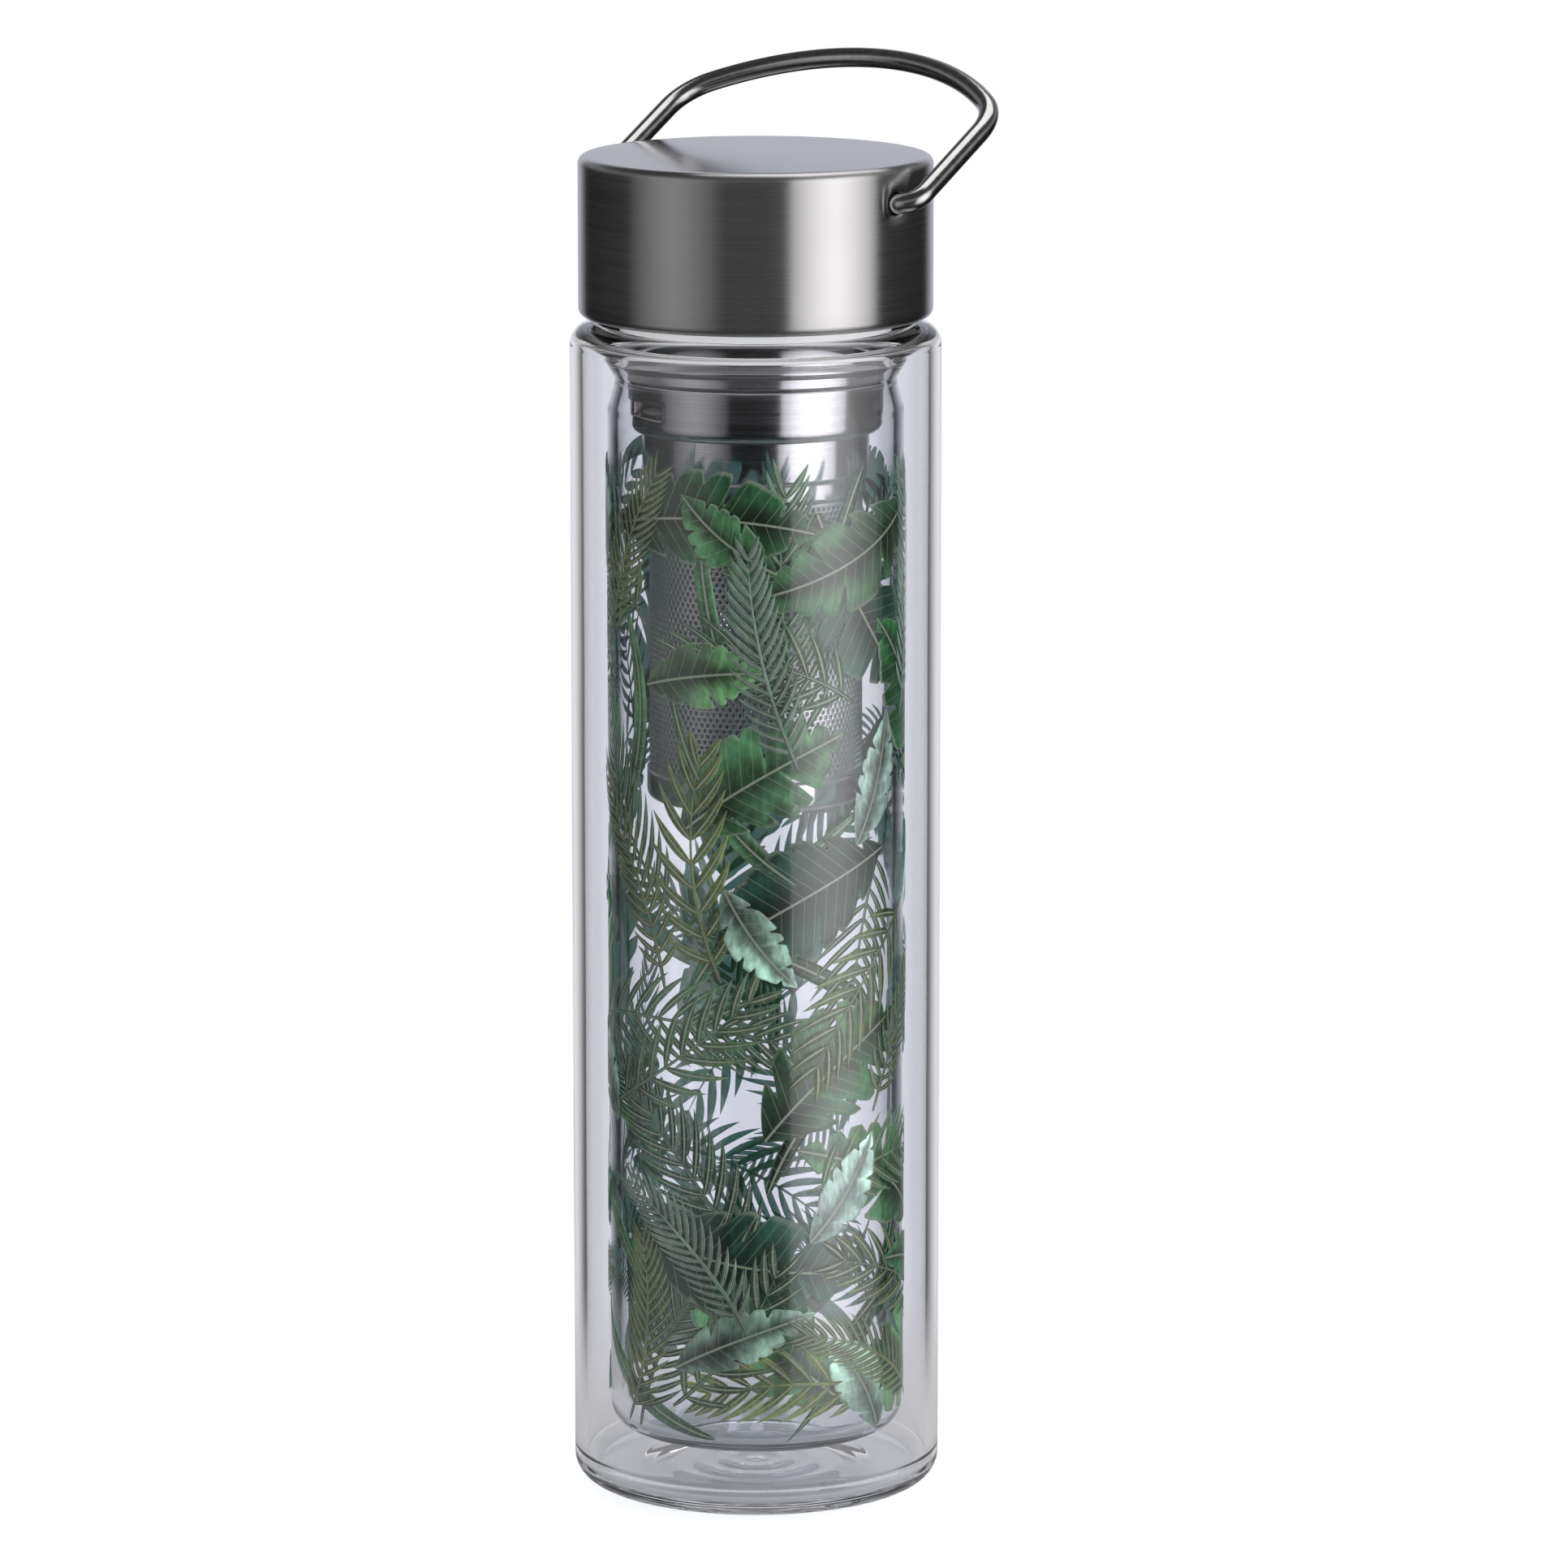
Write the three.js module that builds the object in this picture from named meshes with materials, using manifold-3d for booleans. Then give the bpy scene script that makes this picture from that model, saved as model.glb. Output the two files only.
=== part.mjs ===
// Double-walled glass tea bottle: a lift-out strainer hangs in the neck, and a steel screw cap
// carries a wire bail. Millimetres, +Z up. The origin is the centre of the base, the bail's hinge
// lies along X, and the bail leans towards +Y.
import * as THREE from 'three';
import { mergeVertices } from 'three/addons/utils/BufferGeometryUtils.js';
import Module from 'manifold-3d';

const wasm = await Module();
wasm.setup();

// Facets
const ROUND_STEPS = 40;
const ARC_STEPS = 3;
const WIRE_SIDES = 10;
const WIRE_STEPS = 64;
const HOLE_SIDES = 12;
const DRAIN_SIDES = 4;
const MERGE_DISTANCE = 1e-4;

// Fits between pieces that stay together
const SEAM_GAP = 0.05;
const SEAT_GAP = 0.05;
const PUSH_FIT = 0.1;
const CUT_MARGIN = 1;

// Outer glass
const JACKET_RADIUS = 32.5;
const JACKET_WALL = 2.2;
const JACKET_FLOOR = 2.6;
const BODY_HEIGHT = 207.6;
const BASE_ROUND = 4.2;
const FLOOR_ROUND = 3;
const SHOULDER_RADIUS = 4.35;
const SHOULDER_WALL = 2.7;

// Inner glass with the neck
const AIR_GAP = 4;
const FLOOR_AIR_GAP = 7.2;
const VESSEL_WALL = 1.8;
const VESSEL_FLOOR = 2;
const VESSEL_ROUND = 4.5;
const NECK_HEIGHT = 15;
const NECK_WALL = 4;
const RIM_ROUND = 1.2;
const TAPER_DROP = 5.2;
const WAIST_DROP = 8.7;
const WAIST_LENGTH = 1;
const WAIST_WALL = 1.75;
const WAIST_CLEARANCE = 0.65;
const FLARE_LENGTH = 5;

// Fused plug of the vent that let the air out from between the walls
const VENT_RADIUS = 1.6;
const VENT_INSET = 10.1;
const VENT_ANGLE = -15;
const VENT_RECESS = 0.4;
const VENT_HEAD_OVERLAP = 0.6;
const VENT_HEAD_HEIGHT = 1.5;

// Strainer collar and its silicone seat
const SEAL_THICKNESS = 1;
const SEAL_LIP = 0.8;
const SEAL_LIP_LENGTH = 17.5;
const SEAL_INSET = 0.2;
const COLLAR_GAUGE = 0.5;
const FLANGE_INSET = 0.5;
const COLLAR_LENGTH = 34.5;
const COLLAR_STEP = 0.86;
const COLLAR_STEP_FALL = 1;
const GROOVE_DROP = 3.4;
const GROOVE_DEPTH = 0.35;
const GROOVE_FLOOR = 0.4;
const GROOVE_FLANK = 0.4;

// Bayonet slots of the collar and lugs of the basket, angles in degrees from +X
const BAYONET_COUNT = 2;
const SLOT_END = 264;
const SLOT_RISE = 3.3;
const SLOT_HEIGHT = 2.6;
const BAYONET_TURN = 26;
const LUG_WIDTH = 20;
const LUG_THICKNESS = 1.5;
const LUG_INSET = 0.25;
const LUG_SEAT = 0.2;
const LUG_SIDE_CLEARANCE = 2;

// Strainer basket
const BASKET_GAUGE = 0.4;
const RING_GAP = 1.84;
const RING_RUN_CLEARANCE = 0.4;
const RING_EXPOSED = 6.8;
const RING_ABOVE_SLOT = 3.9;
const RING_STEP = 0.7;
const RING_STEP_FALL = 0.8;
const SKIRT_LENGTH = 3.4;
const TUBE_LENGTH = 56;
const CUP_WALL_HEIGHT = 5.5;
const CUP_ROUND = 1.5;

// Drainage holes of the basket's tube, in staggered rows
const DRAIN_RADIUS = 0.9;
const DRAIN_COLUMNS = ROUND_STEPS / 2;
const DRAIN_ROWS = 9;
const DRAIN_EDGE = 3.5;

// Cap
const CAP_LIFT_OFF_SHOULDER = 1.4;
const GASKET_THICKNESS = 1.8;
const GASKET_WIDTH = 7;
const THREAD_ROOM = 0.9;
const LINER_WALL = 1.3;
const LINER_DISC = 2;
const CAP_HOLLOW = 8.5;
const SHELL_GAUGE = 0.6;
const SHELL_TOP_ROUND = 1.1;
const SHELL_CURL = 1.5;

// Wire bail
const WIRE_RADIUS = 1.75;
const HINGE_DROP = 6.5;
const HINGE_CLEARANCE = 0.3;
const COUNTERSINK = 0.5;
const BAIL_SIDE_GAP = 1.75;
const BAIL_REACH_IN = 3.4;
const BAIL_BEND = 3.5;
const BAIL_HEIGHT = 40.65;
const BAIL_CORNER = 11;
const BAIL_TOP_RADIUS = 49.2;
const BAIL_TILT = 60;

const DEG = Math.PI / 180;

// Glass radii and heights, worked inwards from the outer wall
const neckRadius = JACKET_RADIUS - SHOULDER_RADIUS - SEAM_GAP;
const neckBore = neckRadius - NECK_WALL;
const neckTop = BODY_HEIGHT + NECK_HEIGHT;
const vesselRadius = JACKET_RADIUS - JACKET_WALL - AIR_GAP;
const vesselBottom = JACKET_FLOOR + FLOOR_AIR_GAP;
const cavityTop = BODY_HEIGHT - SHOULDER_WALL;
const ventOffset = JACKET_RADIUS - VENT_INSET;
const taperTop = BODY_HEIGHT - TAPER_DROP;
const waistTop = BODY_HEIGHT - WAIST_DROP;
const waistBottom = waistTop - WAIST_LENGTH;
const flareBottom = waistBottom - FLARE_LENGTH;

// Strainer radii and heights, worked inwards and downwards from the neck
const sealOuter = neckBore - PUSH_FIT;
const sealInner = sealOuter - SEAL_LIP;
const collarTopRadius = sealInner - PUSH_FIT;
const collarRadius = collarTopRadius - COLLAR_STEP;
const waistBore = collarRadius + WAIST_CLEARANCE;
const waistRadius = waistBore + WAIST_WALL;
const flangeRadius = neckRadius - FLANGE_INSET;
const flangeBottom = neckTop + SEAT_GAP + SEAL_THICKNESS + SEAT_GAP;
const flangeTop = flangeBottom + COLLAR_GAUGE;
const collarBottom = flangeBottom - COLLAR_LENGTH;
const slotBottom = collarBottom + SLOT_RISE;
const slotTop = slotBottom + SLOT_HEIGHT;
const ringRadius = collarRadius - COLLAR_GAUGE - RING_GAP;
const ringTop = slotTop + RING_ABOVE_SLOT;
const ringStep = collarBottom - RING_EXPOSED;
const skirtRadius = ringRadius - RING_STEP;
const skirtTop = ringStep - RING_STEP_FALL;
const skirtBottom = skirtTop - SKIRT_LENGTH;
const tubeRadius = skirtRadius - BASKET_GAUGE - SEAM_GAP;
const tubeBottom = skirtTop - TUBE_LENGTH;
const cupBottom = tubeBottom - CUP_ROUND - BASKET_GAUGE / 2 - SEAT_GAP;

// Cap radii and heights, worked outwards and upwards from the neck and the flange
const linerBore = neckRadius + THREAD_ROOM;
const linerRadius = linerBore + LINER_WALL;
const shellRadius = linerRadius + PUSH_FIT + SHELL_GAUGE;
const gasketBottom = flangeTop + SEAT_GAP;
const gasketTop = gasketBottom + GASKET_THICKNESS;
const discBottom = gasketTop + SEAT_GAP;
const discTop = discBottom + LINER_DISC;
const capTop = discTop + CAP_HOLLOW + SHELL_GAUGE;
const capBottom = BODY_HEIGHT + CAP_LIFT_OFF_SHOULDER;
const hingeHeight = capTop - HINGE_DROP;

const glass = { color: 0xe6ecf2, roughness: 0.04, metalness: 0, transparent: true, opacity: 0.35 };
const brushedSteel = { color: 0x9c9a98, roughness: 0.32, metalness: 1 };
const polishedSteel = { color: 0x8d8d8f, roughness: 0.2, metalness: 1 };
const silicone = { color: 0xe8e6e0, roughness: 0.6, metalness: 0 };
const polypropylene = { color: 0xdcdad4, roughness: 0.45, metalness: 0 };

// Points of a round stretch of a profile, on an ellipse with its centre at (radius, height).
function round(radius, height, reachOut, reachUp, from, to) {
  return Array.from({ length: ARC_STEPS + 1 }, (_, step) => {
    const angle = (from + (to - from) * step / ARC_STEPS) * DEG;
    return [radius + reachOut * Math.cos(angle), height + reachUp * Math.sin(angle)];
  });
}

// Points of an S-shaped stretch of a profile that leaves and arrives upright.
function sweep(fromRadius, fromHeight, toRadius, toHeight) {
  return Array.from({ length: ARC_STEPS + 1 }, (_, step) => {
    const share = step / ARC_STEPS;
    const radius = THREE.MathUtils.lerp(fromRadius, toRadius, THREE.MathUtils.smoothstep(share, 0, 1));
    return [radius, THREE.MathUtils.lerp(fromHeight, toHeight, share)];
  });
}

// Closed mesh to solid, with shared corners merged and empty triangles dropped.
function solidOf(geometry) {
  const bare = geometry.clone();
  bare.deleteAttribute('normal');
  bare.deleteAttribute('uv');
  const merged = mergeVertices(bare, MERGE_DISTANCE);
  const corners = [];
  for (let first = 0; first < merged.index.count; first += 3) {
    const [a, b, c] = merged.index.array.slice(first, first + 3);
    if (a !== b && b !== c && c !== a) corners.push(a, b, c);
  }
  const vertProperties = Float32Array.from(merged.attributes.position.array);
  const triVerts = Uint32Array.from(corners);
  return new wasm.Manifold(new wasm.Mesh({ numProp: 3, vertProperties, triVerts }));
}

// Profile of [radius, height] points turned about Z; it runs from axis to axis or closes on itself.
function turned(profile) {
  const points = profile.map(([radius, height]) => new THREE.Vector2(radius, height));
  const onAxis = points[0].x === 0 && points.at(-1).x === 0;
  if (THREE.ShapeUtils.area(points) < 0) points.reverse();
  if (!onAxis) points.push(points[0].clone());
  return solidOf(new THREE.LatheGeometry(points, ROUND_STEPS).rotateX(90 * DEG));
}

// Outline of a sheet of even gauge whose middle follows a line of [radius, height] points.
function sheet(line, gauge) {
  const points = line.map(([radius, height]) => new THREE.Vector2(radius, height));
  const offsets = points.map((point, index) => {
    const before = points[Math.max(index - 1, 0)];
    const after = points[Math.min(index + 1, points.length - 1)];
    const into = point.equals(before) ? after.clone().sub(point) : point.clone().sub(before);
    const out = point.equals(after) ? into.clone() : after.clone().sub(point);
    const [inward, outward] = [into.normalize(), out.normalize()];
    const normal = new THREE.Vector2(-inward.y - outward.y, inward.x + outward.x).normalize();
    const reach = gauge / 2 / normal.dot(new THREE.Vector2(-inward.y, inward.x));
    return normal.multiplyScalar(reach);
  });
  const near = points.map((point, index) => point.clone().add(offsets[index]).toArray());
  const far = points.map((point, index) => point.clone().sub(offsets[index]).toArray());
  return [...near, ...far.reverse()];
}

// Block between two radii, two angles in degrees and two heights.
function sector(inner, outer, from, to, low, high) {
  const shape = new THREE.Shape();
  shape.absarc(0, 0, outer, from * DEG, to * DEG, false);
  shape.absarc(0, 0, inner, to * DEG, from * DEG, true);
  const block = new THREE.ExtrudeGeometry(shape, {
    depth: high - low, bevelEnabled: false, curveSegments: ARC_STEPS * 2,
  });
  return solidOf(block.translate(0, 0, low));
}

function part(name, solid, finish) {
  const { vertProperties, triVerts } = solid.getMesh();
  const geometry = new THREE.BufferGeometry();
  geometry.setAttribute('position', new THREE.BufferAttribute(Float32Array.from(vertProperties), 3));
  geometry.setIndex(new THREE.BufferAttribute(Uint32Array.from(triVerts), 1));
  geometry.computeVertexNormals();
  const mesh = new THREE.Mesh(geometry, new THREE.MeshStandardMaterial(finish));
  mesh.name = name;
  return mesh;
}

function outerJacket() {
  const inside = JACKET_RADIUS - JACKET_WALL;
  const shoulderBottom = BODY_HEIGHT - SHOULDER_RADIUS;
  const shoulderCentre = JACKET_RADIUS - SHOULDER_RADIUS;
  const body = turned([
    [0, 0],
    ...round(JACKET_RADIUS - BASE_ROUND, BASE_ROUND, BASE_ROUND, BASE_ROUND, -90, 0),
    ...round(shoulderCentre, shoulderBottom, SHOULDER_RADIUS, SHOULDER_RADIUS, 0, 90),
    ...round(shoulderCentre, shoulderBottom, inside - shoulderCentre, cavityTop - shoulderBottom, 90, 0),
    ...round(inside - FLOOR_ROUND, JACKET_FLOOR + FLOOR_ROUND, FLOOR_ROUND, FLOOR_ROUND, 0, -90),
    [0, JACKET_FLOOR],
  ]);
  const ventLength = JACKET_FLOOR + CUT_MARGIN * 2;
  const vent = new THREE.CylinderGeometry(VENT_RADIUS, VENT_RADIUS, ventLength, HOLE_SIDES);
  vent.rotateX(90 * DEG).translate(ventOffset, 0, JACKET_FLOOR / 2).rotateZ(VENT_ANGLE * DEG);
  return part('outer_jacket', body.subtract(solidOf(vent)), glass);
}

function innerVessel() {
  const inside = vesselRadius - VESSEL_WALL;
  const innerRound = VESSEL_ROUND - VESSEL_WALL;
  const floorTop = vesselBottom + VESSEL_FLOOR;
  const body = turned([
    [0, vesselBottom],
    ...round(vesselRadius - VESSEL_ROUND, vesselBottom + VESSEL_ROUND, VESSEL_ROUND, VESSEL_ROUND, -90, 0),
    ...sweep(vesselRadius, flareBottom, waistRadius, waistBottom),
    [waistRadius, waistTop],
    [neckRadius, cavityTop],
    ...round(neckRadius - RIM_ROUND, neckTop - RIM_ROUND, RIM_ROUND, RIM_ROUND, 0, 90),
    ...round(neckBore + RIM_ROUND, neckTop - RIM_ROUND, RIM_ROUND, RIM_ROUND, 90, 180),
    [neckBore, taperTop],
    [waistBore, waistTop],
    ...sweep(waistBore, waistBottom, inside, flareBottom),
    ...round(inside - innerRound, floorTop + innerRound, innerRound, innerRound, 0, -90),
    [0, floorTop],
  ]);
  return part('inner_vessel', body, glass);
}

function ventSeal() {
  const stem = VENT_RADIUS - PUSH_FIT;
  const head = VENT_RADIUS + VENT_HEAD_OVERLAP;
  const headBottom = JACKET_FLOOR + SEAT_GAP;
  const plug = new THREE.LatheGeometry([
    [0, VENT_RECESS],
    [stem, VENT_RECESS],
    [stem, headBottom],
    ...round(0, headBottom, head, VENT_HEAD_HEIGHT, 0, 90).slice(0, -1),
    [0, headBottom + VENT_HEAD_HEIGHT],
  ].map(([radius, height]) => new THREE.Vector2(radius, height)), HOLE_SIDES);
  plug.rotateX(90 * DEG).translate(ventOffset, 0, 0).rotateZ(VENT_ANGLE * DEG);
  return part('vent_seal', solidOf(plug), glass);
}

function strainerSeal() {
  const bottom = neckTop + SEAT_GAP;
  const outer = flangeRadius - SEAL_INSET;
  const body = turned([
    [sealInner, neckTop - SEAL_LIP_LENGTH],
    [sealOuter, neckTop - SEAL_LIP_LENGTH],
    [sealOuter, bottom],
    [outer, bottom],
    [outer, bottom + SEAL_THICKNESS],
    [sealInner, bottom + SEAL_THICKNESS],
  ]);
  return part('strainer_seal', body, silicone);
}

function strainerCollar() {
  const half = COLLAR_GAUGE / 2;
  const top = collarTopRadius - half;
  const main = collarRadius - half;
  const low = collarBottom + half;
  const stepBottom = taperTop - COLLAR_STEP_FALL;
  const groove = taperTop - GROOVE_DROP;
  const curl = main - ringRadius - RING_RUN_CLEARANCE;
  const body = turned(sheet([
    [flangeRadius, flangeBottom + half],
    [top, flangeBottom + half],
    [top, taperTop],
    [main, stepBottom],
    [main, groove + GROOVE_FLOOR / 2 + GROOVE_FLANK],
    [main - GROOVE_DEPTH, groove + GROOVE_FLOOR / 2],
    [main - GROOVE_DEPTH, groove - GROOVE_FLOOR / 2],
    [main, groove - GROOVE_FLOOR / 2 - GROOVE_FLANK],
    ...round(main - curl, low + curl, curl, curl, 0, -90),
  ], COLLAR_GAUGE));
  return part('strainer_collar', body.subtract(bayonetSlots()), brushedSteel);
}

// L-shaped cuts: a lug enters from below through the notch, and turns along the slot to its end.
function bayonetSlots() {
  const outer = collarRadius + CUT_MARGIN;
  const inner = ringRadius;
  const notchWidth = LUG_WIDTH + LUG_SIDE_CLEARANCE * 2;
  const notchStart = SLOT_END - notchWidth - BAYONET_TURN;
  const below = collarBottom - CUT_MARGIN;
  let cuts = null;
  for (let index = 0; index < BAYONET_COUNT; index += 1) {
    const turn = index * 360 / BAYONET_COUNT;
    const slot = sector(inner, outer, notchStart + turn, SLOT_END + turn, slotBottom, slotTop);
    const notch = sector(inner, outer, notchStart + turn, notchStart + notchWidth + turn, below, slotTop);
    cuts = cuts ? cuts.add(slot).add(notch) : slot.add(notch);
  }
  return cuts;
}

function basketRing() {
  const half = BASKET_GAUGE / 2;
  const lugEnd = SLOT_END - LUG_SIDE_CLEARANCE;
  const lugBottom = slotBottom + LUG_SEAT;
  let body = turned(sheet([
    [ringRadius - half, ringTop],
    [ringRadius - half, ringStep],
    [skirtRadius - half, skirtTop],
    [skirtRadius - half, skirtBottom],
  ], BASKET_GAUGE));
  for (let index = 0; index < BAYONET_COUNT; index += 1) {
    const end = lugEnd + index * 360 / BAYONET_COUNT;
    const reach = collarRadius - LUG_INSET;
    const root = ringRadius - half;
    body = body.add(sector(root, reach, end - LUG_WIDTH, end, lugBottom, lugBottom + LUG_THICKNESS));
  }
  return part('basket_ring', body, brushedSteel);
}

function basketTube() {
  const top = skirtTop - SEAT_GAP;
  const body = turned([
    [tubeRadius - BASKET_GAUGE, tubeBottom],
    [tubeRadius, tubeBottom],
    [tubeRadius, top],
    [tubeRadius - BASKET_GAUGE, top],
  ]);
  return part('basket_tube', body.subtract(drainHoles()), brushedSteel);
}

// Rows of small radial cuts between the cup's rim and the skirt, every other row turned half a pitch.
function drainHoles() {
  const lowest = cupBottom + CUP_WALL_HEIGHT + DRAIN_EDGE;
  const highest = skirtBottom - DRAIN_EDGE;
  const pitch = (highest - lowest) / (DRAIN_ROWS - 1);
  const sideways = 360 / DRAIN_COLUMNS;
  const depth = BASKET_GAUGE + CUT_MARGIN * 2;
  const cutters = [];
  for (let row = 0; row < DRAIN_ROWS; row += 1) {
    for (let column = 0; column < DRAIN_COLUMNS; column += 1) {
      const angle = (column + row % 2 / 2 + 1 / 4) * sideways;
      const cutter = new THREE.CylinderGeometry(DRAIN_RADIUS, DRAIN_RADIUS, depth, DRAIN_SIDES);
      cutter.rotateZ(90 * DEG).translate(tubeRadius - BASKET_GAUGE / 2, 0, lowest + row * pitch);
      cutters.push(solidOf(cutter.rotateZ(angle * DEG)));
    }
  }
  return wasm.Manifold.union(cutters);
}

function basketCup() {
  const half = BASKET_GAUGE / 2;
  const wall = skirtRadius - half;
  const low = cupBottom + half;
  const body = turned(sheet([
    [0, low],
    ...round(wall - CUP_ROUND, low + CUP_ROUND, CUP_ROUND, CUP_ROUND, -90, 0),
    [wall, cupBottom + CUP_WALL_HEIGHT],
  ], BASKET_GAUGE));
  return part('basket_cup', body, brushedSteel);
}

function capGasket() {
  const outer = linerBore - PUSH_FIT;
  const body = turned([
    [outer - GASKET_WIDTH, gasketBottom],
    [outer, gasketBottom],
    [outer, gasketTop],
    [outer - GASKET_WIDTH, gasketTop],
  ]);
  return part('cap_gasket', body, silicone);
}

function capLiner() {
  const bottom = capBottom + SHELL_GAUGE / 2 + SHELL_CURL + SEAT_GAP;
  const body = turned([
    [0, discBottom],
    [linerBore, discBottom],
    [linerBore, bottom],
    [linerRadius, bottom],
    [linerRadius, discTop],
    [0, discTop],
  ]);
  return part('cap_liner', body, polypropylene);
}

function capShell() {
  const half = SHELL_GAUGE / 2;
  const wall = shellRadius - half;
  const top = capTop - half;
  const low = capBottom + half;
  const body = turned(sheet([
    [0, top],
    ...round(wall - SHELL_TOP_ROUND, top - SHELL_TOP_ROUND, SHELL_TOP_ROUND, SHELL_TOP_ROUND, 90, 0),
    ...round(wall - SHELL_CURL, low + SHELL_CURL, SHELL_CURL, SHELL_CURL, 0, -90),
  ], SHELL_GAUGE));
  return part('cap_shell', body.subtract(hingeHoles()), brushedSteel);
}

// One bore along the hinge through both sides of the shell, opened out where it meets the outside.
function hingeHoles() {
  const radius = WIRE_RADIUS + HINGE_CLEARANCE;
  const bore = new THREE.CylinderGeometry(radius, radius, (shellRadius + CUT_MARGIN) * 2, HOLE_SIDES);
  const flared = radius + COUNTERSINK + CUT_MARGIN;
  let cuts = solidOf(bore.rotateZ(90 * DEG));
  for (const side of [-1, 1]) {
    const cone = new THREE.CylinderGeometry(flared, radius, COUNTERSINK + CUT_MARGIN, HOLE_SIDES);
    cone.translate(0, (COUNTERSINK + CUT_MARGIN) / 2 + shellRadius - COUNTERSINK, 0);
    cuts = cuts.add(solidOf(cone.rotateZ(-side * 90 * DEG)));
  }
  return cuts.translate(0, 0, hingeHeight);
}

// One wire in the hinge's own plane, from one end inside the shell to the other: a bend, a straight
// leg, a round corner, the wide arch, and the same again on the far side.
function bailHandle() {
  const half = shellRadius + BAIL_SIDE_GAP + WIRE_RADIUS;
  const innerEnd = shellRadius - SHELL_GAUGE - BAIL_REACH_IN;
  const bendOut = half - BAIL_BEND;
  const archCentre = BAIL_HEIGHT - BAIL_TOP_RADIUS;
  const cornerOut = half - BAIL_CORNER;
  const cornerUp = archCentre + Math.sqrt((BAIL_TOP_RADIUS - BAIL_CORNER) ** 2 - cornerOut ** 2);
  const lean = Math.atan2(cornerUp - archCentre, cornerOut);
  const route = new THREE.Path();
  route.moveTo(innerEnd, 0);
  route.absarc(bendOut, BAIL_BEND, BAIL_BEND, -90 * DEG, 0, false);
  route.absarc(cornerOut, cornerUp, BAIL_CORNER, 0, lean, false);
  route.absarc(0, archCentre, BAIL_TOP_RADIUS, lean, 180 * DEG - lean, false);
  route.absarc(-cornerOut, cornerUp, BAIL_CORNER, 180 * DEG - lean, 180 * DEG, false);
  route.absarc(-bendOut, BAIL_BEND, BAIL_BEND, 180 * DEG, 270 * DEG, false);
  route.lineTo(-innerEnd, 0);
  const points = route.getSpacedPoints(WIRE_STEPS).map(({ x, y }) => new THREE.Vector3(x, 0, y));
  const section = new THREE.Shape().absarc(0, 0, WIRE_RADIUS, 0, 360 * DEG, false);
  const wire = new THREE.ExtrudeGeometry(section, {
    steps: WIRE_STEPS,
    curveSegments: WIRE_SIDES / 2,
    extrudePath: new THREE.CatmullRomCurve3(points),
  });
  const mesh = part('bail_handle', solidOf(wire), polishedSteel);
  mesh.rotation.x = -BAIL_TILT * DEG;
  mesh.position.z = hingeHeight;
  return mesh;
}

const bottle = new THREE.Group();
bottle.add(outerJacket(), innerVessel(), ventSeal());

const strainer = new THREE.Group();
strainer.add(strainerSeal(), strainerCollar(), basketRing(), basketTube(), basketCup());

const cap = new THREE.Group();
cap.add(capGasket(), capLiner(), capShell(), bailHandle());

const teaBottle = new THREE.Group();
teaBottle.add(bottle, strainer, cap);

export default teaBottle;
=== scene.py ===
"""Looks of a double-walled glass tea bottle with a strainer, a steel screw cap and a wire bail.

Sizes are in millimetres until a mesh is written, which turns them into metres. Radii and heights
that a solid of the frame has are read from the frame, and the others are fields of the classes.
"""

import logging
import math
from dataclasses import dataclass, field
from enum import Enum
from typing import Any, Callable, Optional, Sequence

import bpy
import numpy as np
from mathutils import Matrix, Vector


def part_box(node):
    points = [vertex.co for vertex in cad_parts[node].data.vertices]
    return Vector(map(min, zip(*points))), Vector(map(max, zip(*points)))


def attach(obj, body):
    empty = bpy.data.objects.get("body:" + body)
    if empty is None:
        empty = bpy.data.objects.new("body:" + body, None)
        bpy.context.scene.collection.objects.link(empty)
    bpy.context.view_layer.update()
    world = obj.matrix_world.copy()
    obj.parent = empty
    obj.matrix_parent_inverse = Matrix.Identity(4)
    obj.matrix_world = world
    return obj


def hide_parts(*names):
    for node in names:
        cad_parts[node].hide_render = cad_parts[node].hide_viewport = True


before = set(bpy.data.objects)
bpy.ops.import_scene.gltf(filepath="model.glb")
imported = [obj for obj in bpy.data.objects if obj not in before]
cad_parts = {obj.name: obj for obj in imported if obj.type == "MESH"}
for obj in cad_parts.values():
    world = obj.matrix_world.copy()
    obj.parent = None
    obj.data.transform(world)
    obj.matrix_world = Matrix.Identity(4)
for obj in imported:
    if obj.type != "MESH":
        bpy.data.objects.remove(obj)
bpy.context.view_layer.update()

LOG = logging.getLogger("tea_bottle")
MM = 0.001
FULL_TURN = 2 * math.pi
HALF_TURN = 180.0
GOLDEN_ANGLE = math.pi * (3 - math.sqrt(5))
# Columns of a turned piece, and degrees of a rounding's steps and of an edge that stays sharp
AROUND = 180
ARC_STEP = 12.0
CREASE = 38.0
# Millimetres within which a point lies on a surface, and within which it lies close to one
TOUCH = 0.01
NEAR = 0.1
HAIR = 1e-6
# A screw thread fades out this many times faster than it goes round
RUN_OUT = 6.0
# Most of a noise's values lie between these
NOISE_SPAN = (0.3, 0.7)
# Number of the colour among a Mix node's outputs
MIXED = 2

Grids = tuple[np.ndarray, np.ndarray, np.ndarray]
Shift = Callable[[np.ndarray, np.ndarray, np.ndarray], Grids]
Pick = Callable[[np.ndarray, np.ndarray, np.ndarray], np.ndarray]


def linear(code: str) -> tuple[float, float, float, float]:
    """Turns a colour such as "#7f8c8d" from sRGB to linear.

    Args:
        code: six hex digits after a hash sign.

    Returns:
        Red, green, blue and an alpha of 1.
    """
    shares = np.array([int(code[place:place + 2], 16) for place in (1, 3, 5)]) / 255
    values = np.where(shares <= 0.04045, shares / 12.92, ((shares + 0.055) / 1.055) ** 2.4)
    return (*values.tolist(), 1.0)


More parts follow.
